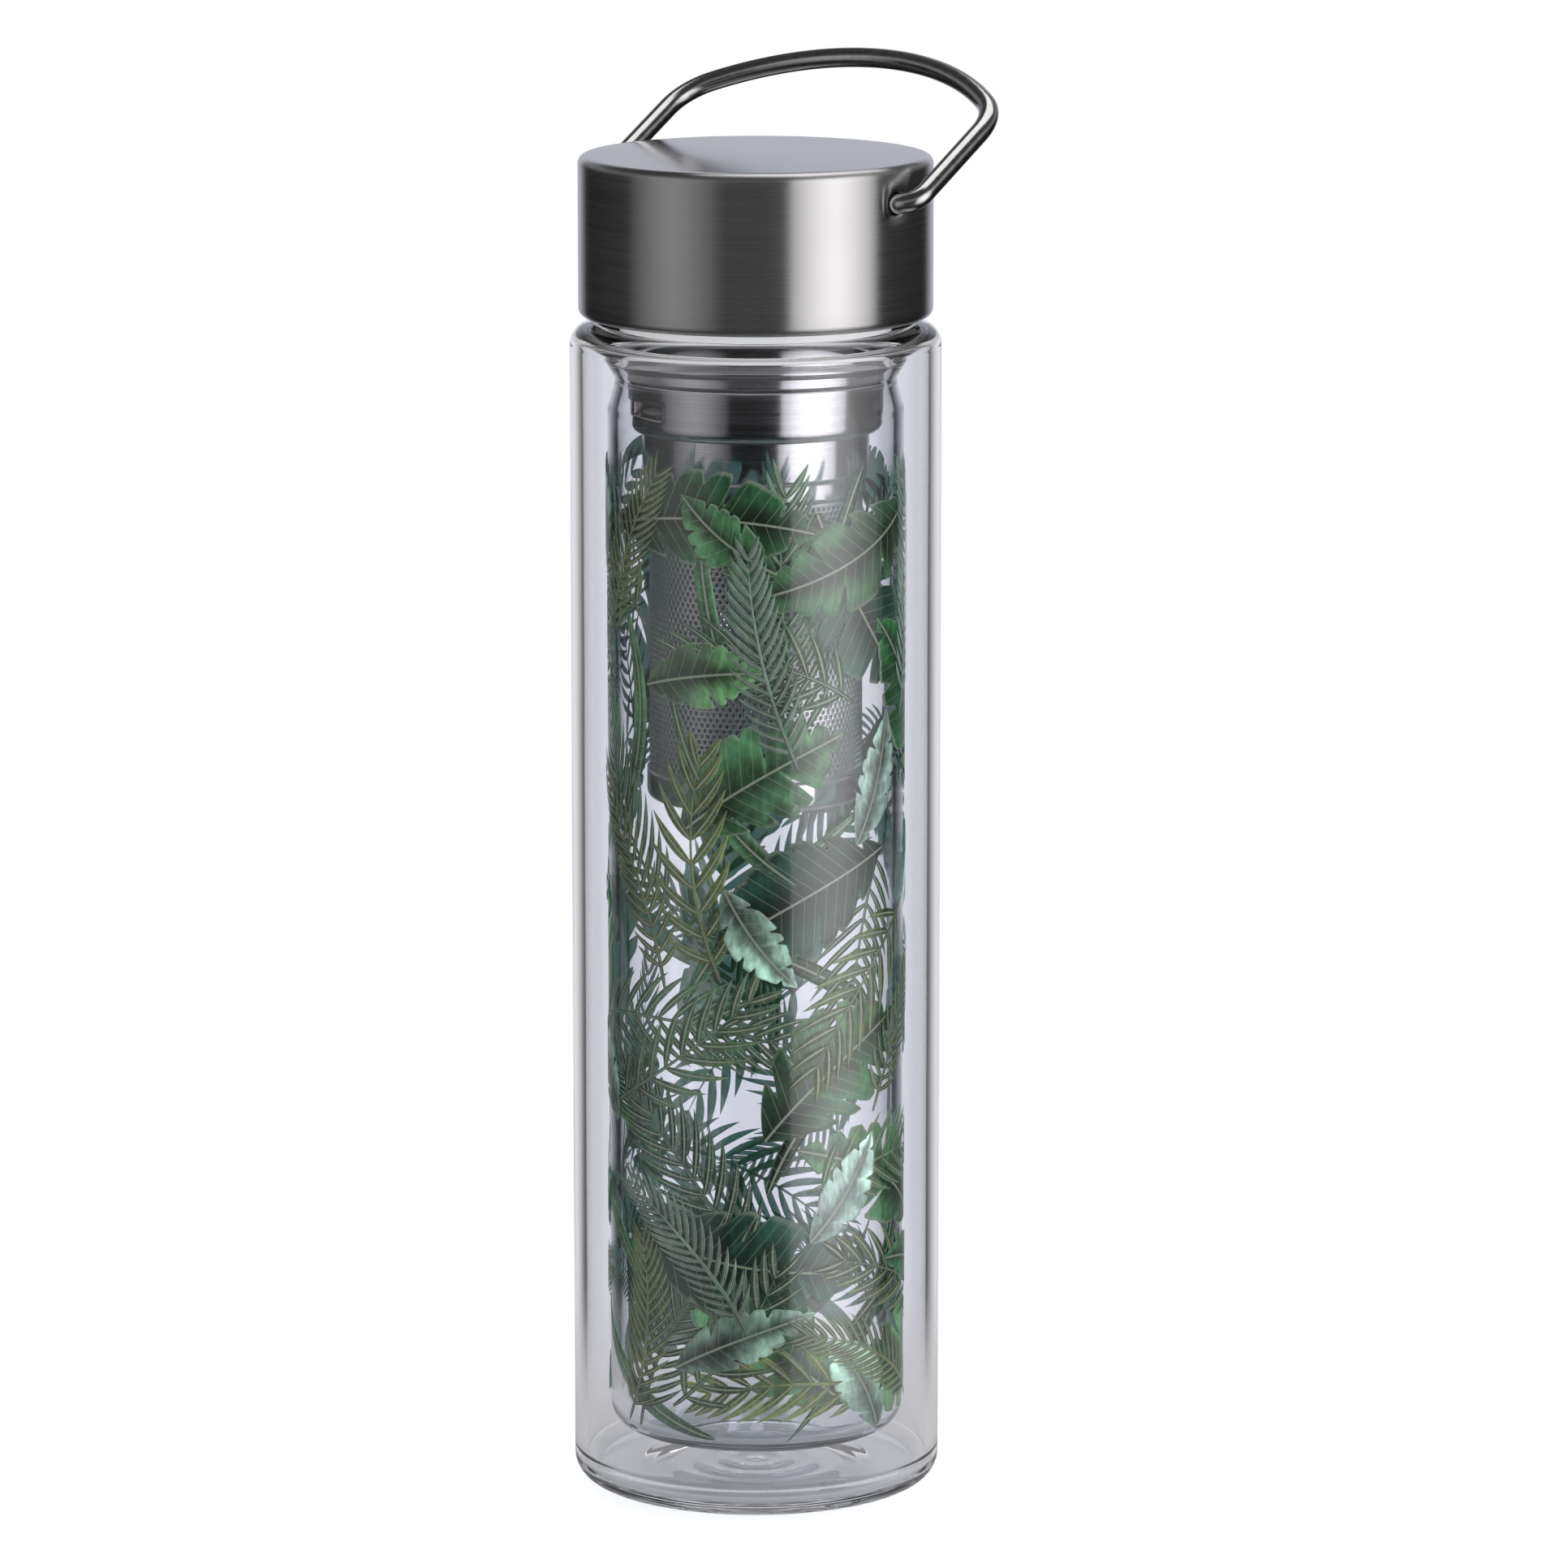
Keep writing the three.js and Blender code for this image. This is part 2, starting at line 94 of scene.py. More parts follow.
def smooth(share: np.ndarray) -> np.ndarray:
    """Eases 0 to 1 with level ends: 3 s^2 - 2 s^3, held at 0 and 1 outside."""
    held = np.clip(share, 0, 1)
    return held * held * (3 - 2 * held)


def reach(node: str) -> tuple[float, float, float]:
    """Measures a round node of the frame.

    Args:
        node: the node's name.

    Returns:
        Its largest X, and its lowest and highest Z, in millimetres.
    """
    low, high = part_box(node)
    return high.x / MM, low.z / MM, high.z / MM


# Shapes


@dataclass(frozen=True)
class Corner:
    """A corner of a turned profile: its rounding, and the row spacing of the line after it."""

    radius: float
    height: float
    rounding: float = 0.0
    spacing: float = math.inf


@dataclass
class Surface:
    """Points in millimetres, faces of four and three corners, and values kept on the points."""

    points: np.ndarray
    quads: np.ndarray
    tris: np.ndarray = field(default_factory=lambda: np.empty((0, 3), int))
    marks: dict[str, np.ndarray] = field(default_factory=dict)

    def tidy(self) -> "Surface":
        """Drops the points that no face uses.

        Returns:
            A surface with the same faces.
        """
        corners = np.concatenate([self.quads.ravel(), self.tris.ravel()])
        used, place = np.unique(corners, return_inverse=True)
        split = self.quads.size
        return Surface(
            self.points[used],
            place[:split].reshape(-1, 4),
            place[split:].reshape(-1, 3),
            {label: values[used] for label, values in self.marks.items()},
        )


def joined(surfaces: Sequence[Surface]) -> Surface:
    """Puts surfaces into one, with every face's corners counted on past the points before it.

    Args:
        surfaces: surfaces that all keep the same values on their points.

    Returns:
        One surface with all their faces.
    """
    starts = np.cumsum([0] + [len(surface.points) for surface in surfaces])
    return Surface(
        np.concatenate([surface.points for surface in surfaces]),
        np.concatenate([surface.quads + start for surface, start in zip(surfaces, starts)]),
        np.concatenate([surface.tris + start for surface, start in zip(surfaces, starts)]),
        {label: np.concatenate([surface.marks[label] for surface in surfaces])
         for label in surfaces[0].marks},
    )


def grid_quads(rows: int, columns: int, wrap_rows: bool, wrap_columns: bool) -> np.ndarray:
    """Numbers the four corners of each cell of a grid of points.

    Args:
        rows: rows of points.
        columns: points in a row.
        wrap_rows: joins the last row to the first.
        wrap_columns: joins the last column to the first.

    Returns:
        One row of four point numbers for each cell.
    """
    index = np.arange(rows * columns).reshape(rows, columns)
    if wrap_rows:
        index = np.vstack([index, index[:1]])
    if wrap_columns:
        index = np.hstack([index, index[:, :1]])
    cells = [index[:-1, :-1], index[:-1, 1:], index[1:, 1:], index[1:, :-1]]
    return np.stack(cells, -1).reshape(-1, 4)


def rounded(corners: Sequence[Corner], closed: bool = False) -> np.ndarray:
    """Makes a profile: each rounding is an arc that touches both of its lines.

    Args:
        corners: the profile's corners, with the solid on the left of the way along them.
        closed: joins the last corner to the first.

    Returns:
        Rows of radius and height.
    """
    spots = np.array([(corner.radius, corner.height) for corner in corners])
    arcs = []
    for index, corner in enumerate(corners):
        here = spots[index]
        loose = not closed and index in (0, len(corners) - 1)
        if loose or corner.rounding == 0:
            arcs.append(here[None])
            continue
        into, out = (spots[index - 1] - here, spots[(index + 1) % len(corners)] - here)
        into, out = (into / np.linalg.norm(into), out / np.linalg.norm(out))
        half = math.acos(float(np.clip(into @ out, -1, 1))) / 2
        middle = (into + out) / np.linalg.norm(into + out)
        centre = here + middle * corner.rounding / math.sin(half)
        start, end = (here + side * corner.rounding / math.tan(half) - centre for side in (into, out))
        sweep = math.pi - 2 * half
        share = np.linspace(0, 1, max(2, math.ceil(math.degrees(sweep) / ARC_STEP)) + 1)[:, None]
        turn = start * np.sin((1 - share) * sweep) + end * np.sin(share * sweep)
        arcs.append(centre + turn / math.sin(sweep))
    rows = []
    for index, arc in enumerate(arcs):
        rows.append(arc)
        if closed or index < len(arcs) - 1:
            line = arcs[(index + 1) % len(arcs)][0] - arc[-1]
            spans = max(1, math.ceil(np.linalg.norm(line) / corners[index].spacing - HAIR))
            rows.append(arc[-1] + line * np.arange(1, spans)[:, None] / spans)
    return np.concatenate(rows)


def turned(
    profile: np.ndarray,
    angles: Optional[np.ndarray] = None,
    closed: bool = False,
    shift: Optional[Shift] = None,
    skip: Optional[Pick] = None,
) -> Surface:
    """Carries a profile round Z: point (i, j) is r_i cos a_j, r_i sin a_j, z_i.

    Args:
        profile: rows of radius and height; an end on the axis becomes one pole.
        angles: the columns' angles round the whole turn, even ones if left out.
        closed: the profile runs back to its start.
        shift: moves the grid's radii, angles and heights.
        skip: tells from the middle of each cell, before the shift, which cells are left open.

    Returns:
        The turned surface.
    """
    if angles is None:
        angles = np.arange(AROUND) * FULL_TURN / AROUND
    poles = [not closed and profile[end, 0] == 0 for end in (0, -1)]
    rows = profile[int(poles[0]):len(profile) - int(poles[1])]
    shape = (len(rows), len(angles))
    radius = np.broadcast_to(rows[:, :1], shape)
    angle = np.broadcast_to(angles[None], shape)
    height = np.broadcast_to(rows[:, 1:], shape)
    quads = grid_quads(*shape, closed, True)
    if skip is not None:
        ahead = np.append(angles[1:], angles[0] + FULL_TURN)
        sideways = np.broadcast_to((angles + ahead)[None] / 2, (len(rows) - 1, len(angles)))
        middles = [np.broadcast_to((side[:-1] + side[1:])[:, None] / 2, sideways.shape)
                   for side in (rows[:, 0], rows[:, 1])]
        quads = quads[~skip(middles[0], sideways, middles[1]).ravel()]
    if shift is not None:
        radius, angle, height = shift(radius, angle, height)
    points = np.stack([radius * np.cos(angle), radius * np.sin(angle), height], -1).reshape(-1, 3)
    ring = np.arange(len(angles))
    beside = np.roll(ring, -1)
    tris = []
    if poles[0]:
        tris.append(np.stack([np.full_like(ring, len(points)), beside, ring], -1))
        points = np.vstack([points, [0, 0, profile[0, 1]]])
    if poles[1]:
        last = (len(rows) - 1) * len(angles)
        tris.append(np.stack([last + ring, last + beside, np.full_like(ring, len(points))], -1))
        points = np.vstack([points, [0, 0, profile[-1, 1]]])
    return Surface(points, quads, np.concatenate(tris) if tris else np.empty((0, 3), int))


def swept(path: np.ndarray, radii: np.ndarray, upright: np.ndarray, sides: int) -> Surface:
    """Carries a circle along a flat path: path + r (cos b side + sin b upright), with closed ends.

    Args:
        path: rows of points in millimetres, in one plane.
        radii: the circle's radius at each point.
        upright: unit normal of that plane.
        sides: points on the circle.

    Returns:
        The closed tube.
    """
    tangent = np.gradient(path, axis=0)
    tangent /= np.linalg.norm(tangent, axis=1, keepdims=True)
    side = np.cross(upright, tangent)
    turn = np.arange(sides) * FULL_TURN / sides
    ring = np.cos(turn)[None, :, None] * side[:, None] + np.sin(turn)[None, :, None] * upright
    points = (path[:, None] + radii[:, None, None] * ring).reshape(-1, 3)
    quads = grid_quads(len(path), sides, False, True)
    first = np.arange(sides)
    beside = np.roll(first, -1)
    last = (len(path) - 1) * sides
    ends = [np.stack([np.full(sides, len(points)), beside, first], -1),
            np.stack([last + first, last + beside, np.full(sides, len(points) + 1)], -1)]
    return Surface(np.vstack([points, path[:1], path[-1:]]), quads, np.concatenate(ends))


def helix_ridge(angle: np.ndarray, height: np.ndarray, start: float, turns: float, pitch: float,
                half_width: float) -> np.ndarray:
    """Share of a screw thread's height: a bell curve of the way along Z to the nearest turn.

    Args:
        angle: angles of the points.
        height: heights of the points.
        start: height of the thread's start at angle 0.
        turns: whole turns of the thread, which fades out over the first and last sixth of a turn.
        pitch: rise of one turn.
        half_width: half width of the ridge.

    Returns:
        0 off the thread and 1 on its crest.
    """
    share = np.mod(angle, FULL_TURN) / FULL_TURN
    phase = (height - start) / pitch - share
    nearest = np.clip(np.round(phase), 0, turns - 1)
    travelled = nearest + share
    fade = smooth(travelled * RUN_OUT) * smooth((turns - travelled) * RUN_OUT)
    return fade * np.exp(-((phase - nearest) * pitch / half_width) ** 2)


def add_piece(
    name: str,
    surface: Surface,
    finishes: Sequence[bpy.types.Material],
    body: str,
    replaces: Sequence[str] = (),
    finish_of: Optional[Callable[[np.ndarray], np.ndarray]] = None,
) -> bpy.types.Object:
    """Writes a surface as a mesh, finishes it and makes it ride on a body.

    Args:
        name: the piece's name.
        surface: its shape.
        finishes: its materials.
        body: the body that carries it.
        replaces: nodes that it stands for.
        finish_of: gives the material's number from the faces' middles.

    Returns:
        The new object.
    """
    clean = surface.tidy()
    mesh = bpy.data.meshes.new(name)
    mesh.from_pydata((clean.points * MM).tolist(), [], clean.quads.tolist() + clean.tris.tolist())
    mesh.shade_smooth()
    mesh.set_sharp_from_angle(angle=math.radians(CREASE))
    for label, values in clean.marks.items():
        layer = mesh.attributes.new(label, "FLOAT_VECTOR", "POINT")
        layer.data.foreach_set("vector", values.ravel())
    for finish in finishes:
        mesh.materials.append(finish)
    if finish_of is not None:
        middles = np.concatenate([clean.points[clean.quads].mean(1), clean.points[clean.tris].mean(1)])
        mesh.polygons.foreach_set("material_index", finish_of(middles).astype(np.int32))
    piece = bpy.data.objects.new(name, mesh)
    bpy.context.scene.collection.objects.link(piece)
    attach(piece, body)
    if replaces:
        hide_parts(*replaces)
    LOG.info("%s: %d faces on %s", name, len(mesh.polygons), body)
    return piece


def thicken(piece: bpy.types.Object, gauge: float, offset: float, back_finish: int = 0) -> None:
    """Gives a sheet its gauge.

    Args:
        piece: the sheet.
        gauge: thickness in millimetres.
        offset: -1 puts the gauge inside the sheet, 0 half on each side.
        back_finish: how many materials further on the inner face takes its finish from.
    """
    wall = piece.modifiers.new("gauge", "SOLIDIFY")
    wall.thickness = gauge * MM
    wall.offset = offset
    wall.material_offset = back_finish
    wall.use_quality_normals = True


# Finishes


class Kind(Enum):
    """Kinds of node: type, settings that never change, and what takes the values given in turn."""

    ABSOLUTE = ("ShaderNodeMath", {"operation": "ABSOLUTE"}, (0,))
    ABSORPTION = ("ShaderNodeVolumeAbsorption", {}, ("Color", "Density"))
    ADD = ("ShaderNodeMath", {"operation": "ADD"}, (0, 1))
    ATTRIBUTE = ("ShaderNodeAttribute", {}, ("attribute_name",))
    BACKGROUND = ("ShaderNodeBackground", {"Strength": 1.0}, ("Color",))
    BUMP = ("ShaderNodeBump", {"Strength": 1.0}, ("Height", "Distance"))
    COMBINE = ("ShaderNodeCombineXYZ", {}, ("X", "Y", "Z"))
    COMPARE = ("ShaderNodeMath", {"operation": "COMPARE"}, (0, 1, 2))
    COORDINATES = ("ShaderNodeTexCoord", {}, ())
    DOT = ("ShaderNodeVectorMath", {"operation": "DOT_PRODUCT"}, (0, 1))
    GREATER = ("ShaderNodeMath", {"operation": "GREATER_THAN"}, (0, 1))
    LENGTH = ("ShaderNodeVectorMath", {"operation": "LENGTH"}, (0,))
    LIGHTEN = ("ShaderNodeMix", {"data_type": "RGBA", "blend_type": "LIGHTEN"}, (0, 6, 7))
    MAPPING = ("ShaderNodeMapping", {}, ("Vector", "Scale"))
    MATERIAL_OUTPUT = ("ShaderNodeOutputMaterial", {}, ("Surface", "Volume"))
    MAXIMUM = ("ShaderNodeMath", {"operation": "MAXIMUM"}, (0, 1))
    MIX = ("ShaderNodeMix", {"data_type": "RGBA"}, (0, 6, 7))
    MIX_SHADER = ("ShaderNodeMixShader", {}, (0, 1, 2))
    MULTIPLY = ("ShaderNodeMath", {"operation": "MULTIPLY"}, (0, 1))
    MULTIPLY_ADD = ("ShaderNodeMath", {"operation": "MULTIPLY_ADD"}, (0, 1, 2))
    NOISE = ("ShaderNodeTexNoise", {"Roughness": 0.55}, ("Vector", "Scale", "Detail"))
    PINGPONG = ("ShaderNodeMath", {"operation": "PINGPONG"}, (0, 1))
    PRINCIPLED = ("ShaderNodeBsdfPrincipled", {}, ())
    RANGE = ("ShaderNodeMapRange", {"interpolation_type": "SMOOTHSTEP"},
             ("Value", "From Min", "From Max", "To Min", "To Max"))
    RAY = ("ShaderNodeLightPath", {}, ())
    SEPARATE = ("ShaderNodeSeparateXYZ", {}, ("Vector",))
    TANGENT = ("ShaderNodeTangent", {"direction_type": "RADIAL", "axis": "Z"}, ())
    TINT = ("ShaderNodeMix", {"data_type": "RGBA", "blend_type": "MULTIPLY"}, (0, 6, 7))
    TRANSPARENT = ("ShaderNodeBsdfTransparent", {}, ("Color",))
    WORLD_OUTPUT = ("ShaderNodeOutputWorld", {}, ("Surface",))


def add_node(tree: bpy.types.NodeTree, kind: Kind, *values: Any,
             settings: Optional[dict[str, Any]] = None) -> bpy.types.Node:
    """Adds a node with its settings and links.

    Args:
        tree: the tree it goes into.
        kind: what it is.
        values: numbers, colours or other nodes' outputs for what the kind names, in turn.
        settings: the same for further inputs or properties, by name.

    Returns:
        The new node.
    """
    label, fixed, takers = kind.value
    node = tree.nodes.new(label)
    for key, value in (fixed | dict(zip(takers, values)) | (settings or {})).items():
        if isinstance(value, bpy.types.NodeSocket):
            tree.links.new(value, node.inputs[key])
        elif isinstance(key, int) or key in node.inputs:
            node.inputs[key].default_value = value
        else:
            setattr(node, key, value)
    return node


def per_metre(size: float) -> float:
    """Noise scale whose features are about this many millimetres across."""
    return 1 / (size * MM)


def new_material(name: str) -> tuple[bpy.types.Material, bpy.types.NodeTree]:
    """Starts a material.

    Args:
        name: the material's name.

    Returns:
        The material and its empty tree.
    """
    material = bpy.data.materials.new(name)
    material.use_nodes = True
    material.node_tree.nodes.clear()
    return material, material.node_tree


@dataclass(frozen=True)
class BlownGlass:
    """Blown borosilicate glass: clear, faintly wavy walls with a cool grey tint in thick parts."""

    name: str = "blown_borosilicate_glass"
    colour: str = "#fdfdff"
    light_through: str = "#f4f6f8"
    tint: str = "#9c9ea8"
    tint_per_metre: float = 10.0
    ior: float = 1.47
    wave_size: float = 34.0
    wave_depth: float = 0.012
    # The walls were drawn upwards, so their waves are three times longer than wide
    wave_stretch: tuple[float, float, float] = (3.0, 3.0, 1.0)

    def material(self) -> bpy.types.Material:
        """Makes clear glass that lamps and soft light pass straight through.

        Returns:
            The new material.
        """
        material, tree = new_material(self.name)
        place = add_node(tree, Kind.COORDINATES).outputs["Object"]
        drawn = add_node(tree, Kind.MAPPING, place, self.wave_stretch).outputs["Vector"]
        waves = add_node(tree, Kind.NOISE, drawn, per_metre(self.wave_size), 1.0).outputs["Fac"]
        surface = add_node(tree, Kind.PRINCIPLED, settings={
            "Base Color": linear(self.colour), "Roughness": 0.0, "IOR": self.ior,
            "Transmission Weight": 1.0,
            "Normal": add_node(tree, Kind.BUMP, waves, self.wave_depth * MM).outputs["Normal"],
        }).outputs["BSDF"]
        clear = add_node(tree, Kind.TRANSPARENT, linear(self.light_through)).outputs["BSDF"]
        path = add_node(tree, Kind.RAY).outputs
        for ray in ("Is Diffuse Ray", "Is Shadow Ray"):
            surface = add_node(tree, Kind.MIX_SHADER, path[ray], surface, clear).outputs["Shader"]
        tint = add_node(tree, Kind.ABSORPTION, linear(self.tint), self.tint_per_metre)
        add_node(tree, Kind.MATERIAL_OUTPUT, surface, tint.outputs["Volume"])
        return material


class Grain(Enum):
    """Which way a steel was rubbed, round Z or not at all: how much shorter its marks are on each axis."""

    ROUND = (0.016, 0.016, 1.0)
    NONE = (1.0, 1.0, 1.0)


@dataclass(frozen=True)
class Steel:
    """Stainless steel: a neutral grey metal whose finish is its grain, gloss and fine scratches."""

    name: str
    light: str
    dark: str
    roughness: float
    roughness_spread: float
    anisotropy: float
    grain: Grain
    line_width: float
    line_depth: float
    cloud_size: float = 14.0

    def material(self) -> bpy.types.Material:
        """Makes steel whose lines run round Z, drawn about ten times coarser than the real grit.

        Returns:
            The new material.
        """
        material, tree = new_material(self.name)
        place = add_node(tree, Kind.COORDINATES).outputs["Object"]
        across, inwards, up = add_node(tree, Kind.SEPARATE, place).outputs
        flat = add_node(tree, Kind.COMBINE, across, inwards).outputs["Vector"]
        radius = add_node(tree, Kind.LENGTH, flat).outputs["Value"]
        # Height plus radius counts the lines up a wall and across a flat end alike
        lines = add_node(tree, Kind.ADD, up, radius).outputs["Value"]
        laid = add_node(tree, Kind.COMBINE, across, inwards, lines).outputs["Vector"]
        rubbed = add_node(tree, Kind.MAPPING, laid, self.grain.value).outputs["Vector"]
        streaks = add_node(tree, Kind.NOISE, rubbed, per_metre(self.line_width), 5.0).outputs["Fac"]
        cloud = add_node(tree, Kind.NOISE, place, per_metre(self.cloud_size), 3.0).outputs["Fac"]
        spread = self.roughness_spread
        share, gloss = (add_node(tree, Kind.RANGE, streaks, *NOISE_SPAN, *ends).outputs["Result"]
                        for ends in ((0, 1), (self.roughness - spread, self.roughness)))
        colour = add_node(tree, Kind.MIX, share, linear(self.dark), linear(self.light))
        settings = {
            "Metallic": 1.0, "Anisotropic": self.anisotropy, "Base Color": colour.outputs[MIXED],
            "Roughness": add_node(tree, Kind.MULTIPLY_ADD, cloud, spread, gloss).outputs["Value"],
            "Normal": add_node(tree, Kind.BUMP, streaks, self.line_depth * MM).outputs["Normal"],
        }
        if self.grain is Grain.ROUND:
            # A quarter turn lays the glint across the lines
            settings["Anisotropic Rotation"] = 0.25
            settings["Tangent"] = add_node(tree, Kind.TANGENT).outputs["Tangent"]
        shader = add_node(tree, Kind.PRINCIPLED, settings=settings)
        add_node(tree, Kind.MATERIAL_OUTPUT, shader.outputs["BSDF"])
        return material


@dataclass(frozen=True)
class SoftMoulding:
    """Moulded silicone or polypropylene: milky, a little light inside it, with a fine matt grain, and a
    glow of painted light where one is given.
    """

    name: str
    light: str
    dark: str
    roughness: float
    scatter_depth: float
    grain_size: float
    grain_depth: float
    # Emission of painted light, which makes the moulding glow whatever light falls on it
    glow: float
    scatter_share: float = 0.25
    ior: float = 1.45
    cloud_size: float = 9.0

    def material(self) -> bpy.types.Material:
        """Makes a milky moulded plastic or rubber; its glow is painted light, an emission that stands in
        for light led in from its lit side.

        Returns:
            The new material.
        """
        material, tree = new_material(self.name)
        place = add_node(tree, Kind.COORDINATES).outputs["Object"]
        cloud = add_node(tree, Kind.NOISE, place, per_metre(self.cloud_size), 3.0).outputs["Fac"]
        share = add_node(tree, Kind.RANGE, cloud, *NOISE_SPAN, 0, 1).outputs["Result"]
        colour = add_node(tree, Kind.MIX, share, linear(self.dark), linear(self.light))
        grain = add_node(tree, Kind.NOISE, place, per_metre(self.grain_size), 2.0).outputs["Fac"]
        shader = add_node(tree, Kind.PRINCIPLED, settings={
            "Base Color": colour.outputs[MIXED], "Roughness": self.roughness, "IOR": self.ior,
            "Subsurface Weight": self.scatter_share, "Subsurface Scale": self.scatter_depth * MM,
            "Subsurface Radius": (1.0, 1.0, 1.0),
            # Painted light: the moulding glows in its own colour
            "Emission Color": linear(self.light), "Emission Strength": self.glow,
            "Normal": add_node(tree, Kind.BUMP, grain, self.grain_depth * MM).outputs["Normal"],
        })
        add_node(tree, Kind.MATERIAL_OUTPUT, shader.outputs["BSDF"])
        return material


@dataclass(frozen=True)
class LeafInk:
    """Fired enamel ink: soft washes, pale veins and edges, and the gloss of its heavy glass flux.

    Sizes are in millimetres. Washes give the darkest and lightest strength of a colour, and reaches
    are shares of the way from a blade's rib to its edge.
    """

    name: str = "leaf_ink"
    vein: str = "#b9c8ab"
    edge: str = "#a3b59a"
    roughness: float = 0.3
    ior: float = 1.75
    glow: float = 0.12
    cloud_size: float = 7.0
    cloud_wash: tuple[float, float] = (0.4, 1.7)
    speck_size: float = 0.9
    speck_stretch: tuple[float, float, float] = (1.0, 1.0, 0.35)
    speck_wash: tuple[float, float] = (0.75, 1.3)
    rib_wash: tuple[float, float] = (0.25, 1.6)
    rib_wash_reach: float = 0.8
    foot_wash: tuple[float, float] = (0.45, 1.25)
    foot_length: float = 18.0
    vein_spacing: float = 2.3
    vein_width: float = 0.11
    vein_strength: float = 0.5
    rib_core: float = 0.105
    rib_width: float = 0.3
    rib_strength: float = 0.75
    rib_reach: tuple[float, float] = (0.1, 0.35)
    edge_reach: tuple[float, float] = (0.88, 1.0)
    edge_strength: float = 0.5

    def material(self) -> bpy.types.Material:
        """Makes an ink that reads where on its leaf a point lies from the leaf's own values.

        Returns:
            The new material.
        """
        material, tree = new_material(self.name)
        colour = add_node(tree, Kind.ATTRIBUTE, LeafPrint.TONE).outputs["Color"]
        place = add_node(tree, Kind.ATTRIBUTE, LeafPrint.PLACE).outputs["Vector"]
        along, across, share = add_node(tree, Kind.SEPARATE, place).outputs
        across, share = (add_node(tree, Kind.ABSOLUTE, value).outputs["Value"] for value in (across, share))
        spot = add_node(tree, Kind.COORDINATES).outputs["Object"]
        cloud = add_node(tree, Kind.NOISE, spot, per_metre(self.cloud_size), 4.0).outputs["Fac"]
        drawn = add_node(tree, Kind.MAPPING, spot, self.speck_stretch).outputs["Vector"]
        specks = add_node(tree, Kind.NOISE, drawn, per_metre(self.speck_size), 3.0).outputs["Fac"]
        # Washes: two sizes of cloud, darker along the rib and at the leaf's foot
        for value, span, wash in (
            (cloud, NOISE_SPAN, self.cloud_wash),
            (specks, NOISE_SPAN, self.speck_wash),
            (share, (0.0, self.rib_wash_reach), self.rib_wash),
            (along, (0.0, self.foot_length), self.foot_wash),
        ):
            layer = add_node(tree, Kind.RANGE, value, *span, *wash).outputs["Result"]
            colour = add_node(tree, Kind.TINT, 1.0, colour, layer).outputs[MIXED]
        # Side veins run along the blade's own cross lines, which slant towards the tip
        comb = add_node(tree, Kind.PINGPONG, along, self.vein_spacing / 2).outputs["Value"]
        # A narrow leaflet's rib takes up no more than its middle
        veins, rib, slim = (
            add_node(tree, Kind.RANGE, value, *span, strength, 0.0).outputs["Result"]
            for value, span, strength in (
                (comb, (0.0, self.vein_width), self.vein_strength),
                (across, (self.rib_core, self.rib_width), self.rib_strength),
                (share, self.rib_reach, 1.0),
            ))
        rib = add_node(tree, Kind.MULTIPLY, rib, slim).outputs["Value"]
        line = add_node(tree, Kind.MAXIMUM, veins, rib).outputs["Value"]
        colour = add_node(tree, Kind.MIX, line, colour, linear(self.vein)).outputs[MIXED]
        rim = add_node(tree, Kind.RANGE, share, *self.edge_reach, 0.0, self.edge_strength).outputs["Result"]
        colour = add_node(tree, Kind.MIX, rim, colour, linear(self.edge)).outputs[MIXED]
        shader = add_node(tree, Kind.PRINCIPLED, settings={
            "Base Color": colour, "Roughness": self.roughness, "IOR": self.ior,
            "Subsurface Weight": self.glow, "Subsurface Scale": MM, "Subsurface Radius": (1.0, 1.0, 1.0),
        })
        add_node(tree, Kind.MATERIAL_OUTPUT, shader.outputs["BSDF"])
        return material


@dataclass(frozen=True)
class BackingInk:
    """The even base coat of the print: it glows green where light comes through from behind."""

    name: str = "backing_ink"
    light: str = "#3a9150"
    dark: str = "#236b38"
    roughness: float = 0.5
    ior: float = 1.5
    glow: float = 0.25
    cloud_size: float = 5.0

    def material(self) -> bpy.types.Material:
        """Makes a flat ink with faint clouds from the screen print.

        Returns:
            The new material.
        """
        material, tree = new_material(self.name)
        place = add_node(tree, Kind.COORDINATES).outputs["Object"]
        cloud = add_node(tree, Kind.NOISE, place, per_metre(self.cloud_size), 4.0).outputs["Fac"]
        share = add_node(tree, Kind.RANGE, cloud, *NOISE_SPAN, 0, 1).outputs["Result"]
        colour = add_node(tree, Kind.MIX, share, linear(self.dark), linear(self.light))
        shader = add_node(tree, Kind.PRINCIPLED, settings={
            "Base Color": colour.outputs[MIXED], "Roughness": self.roughness, "IOR": self.ior,
            "Subsurface Weight": self.glow, "Subsurface Scale": MM, "Subsurface Radius": (1.0, 1.0, 1.0),
        })
        add_node(tree, Kind.MATERIAL_OUTPUT, shader.outputs["BSDF"])
        return material


# Rubbed round with fine grit, so that glints draw out into upright bands
BRUSHED_STEEL = Steel("round_brushed_steel", "#d1cfd0", "#c6c4c5", 0.3, 0.05, 0.9, Grain.ROUND, 0.3, 0.0014)
# Blasted and buffed to a soft, even mirror
SATIN_STEEL = Steel("satin_steel", "#b9b8ba", "#a9a8aa", 0.13, 0.03, 0.0, Grain.NONE, 0.5, 0.0006)
# Turned on a lathe, which leaves faint rings and hard dark and bright bands
TURNED_STEEL = Steel("turned_steel", "#eceaeb", "#dedcdd", 0.17, 0.04, 0.55, Grain.ROUND, 0.4, 0.001)
# Etched through, which leaves the sheet pale and without a mirror
SIEVE_STEEL = Steel("etched_sieve_steel", "#f4f2f1", "#e8e6e5", 0.38, 0.05, 0.2, Grain.ROUND, 0.6, 0.001)
# Drawn and polished, so that a thin bright line runs along the wire
POLISHED_STEEL = Steel("polished_wire_steel", "#cbc9c8", "#bdbbba", 0.2, 0.04, 0.0, Grain.NONE, 1.5, 0.0015)
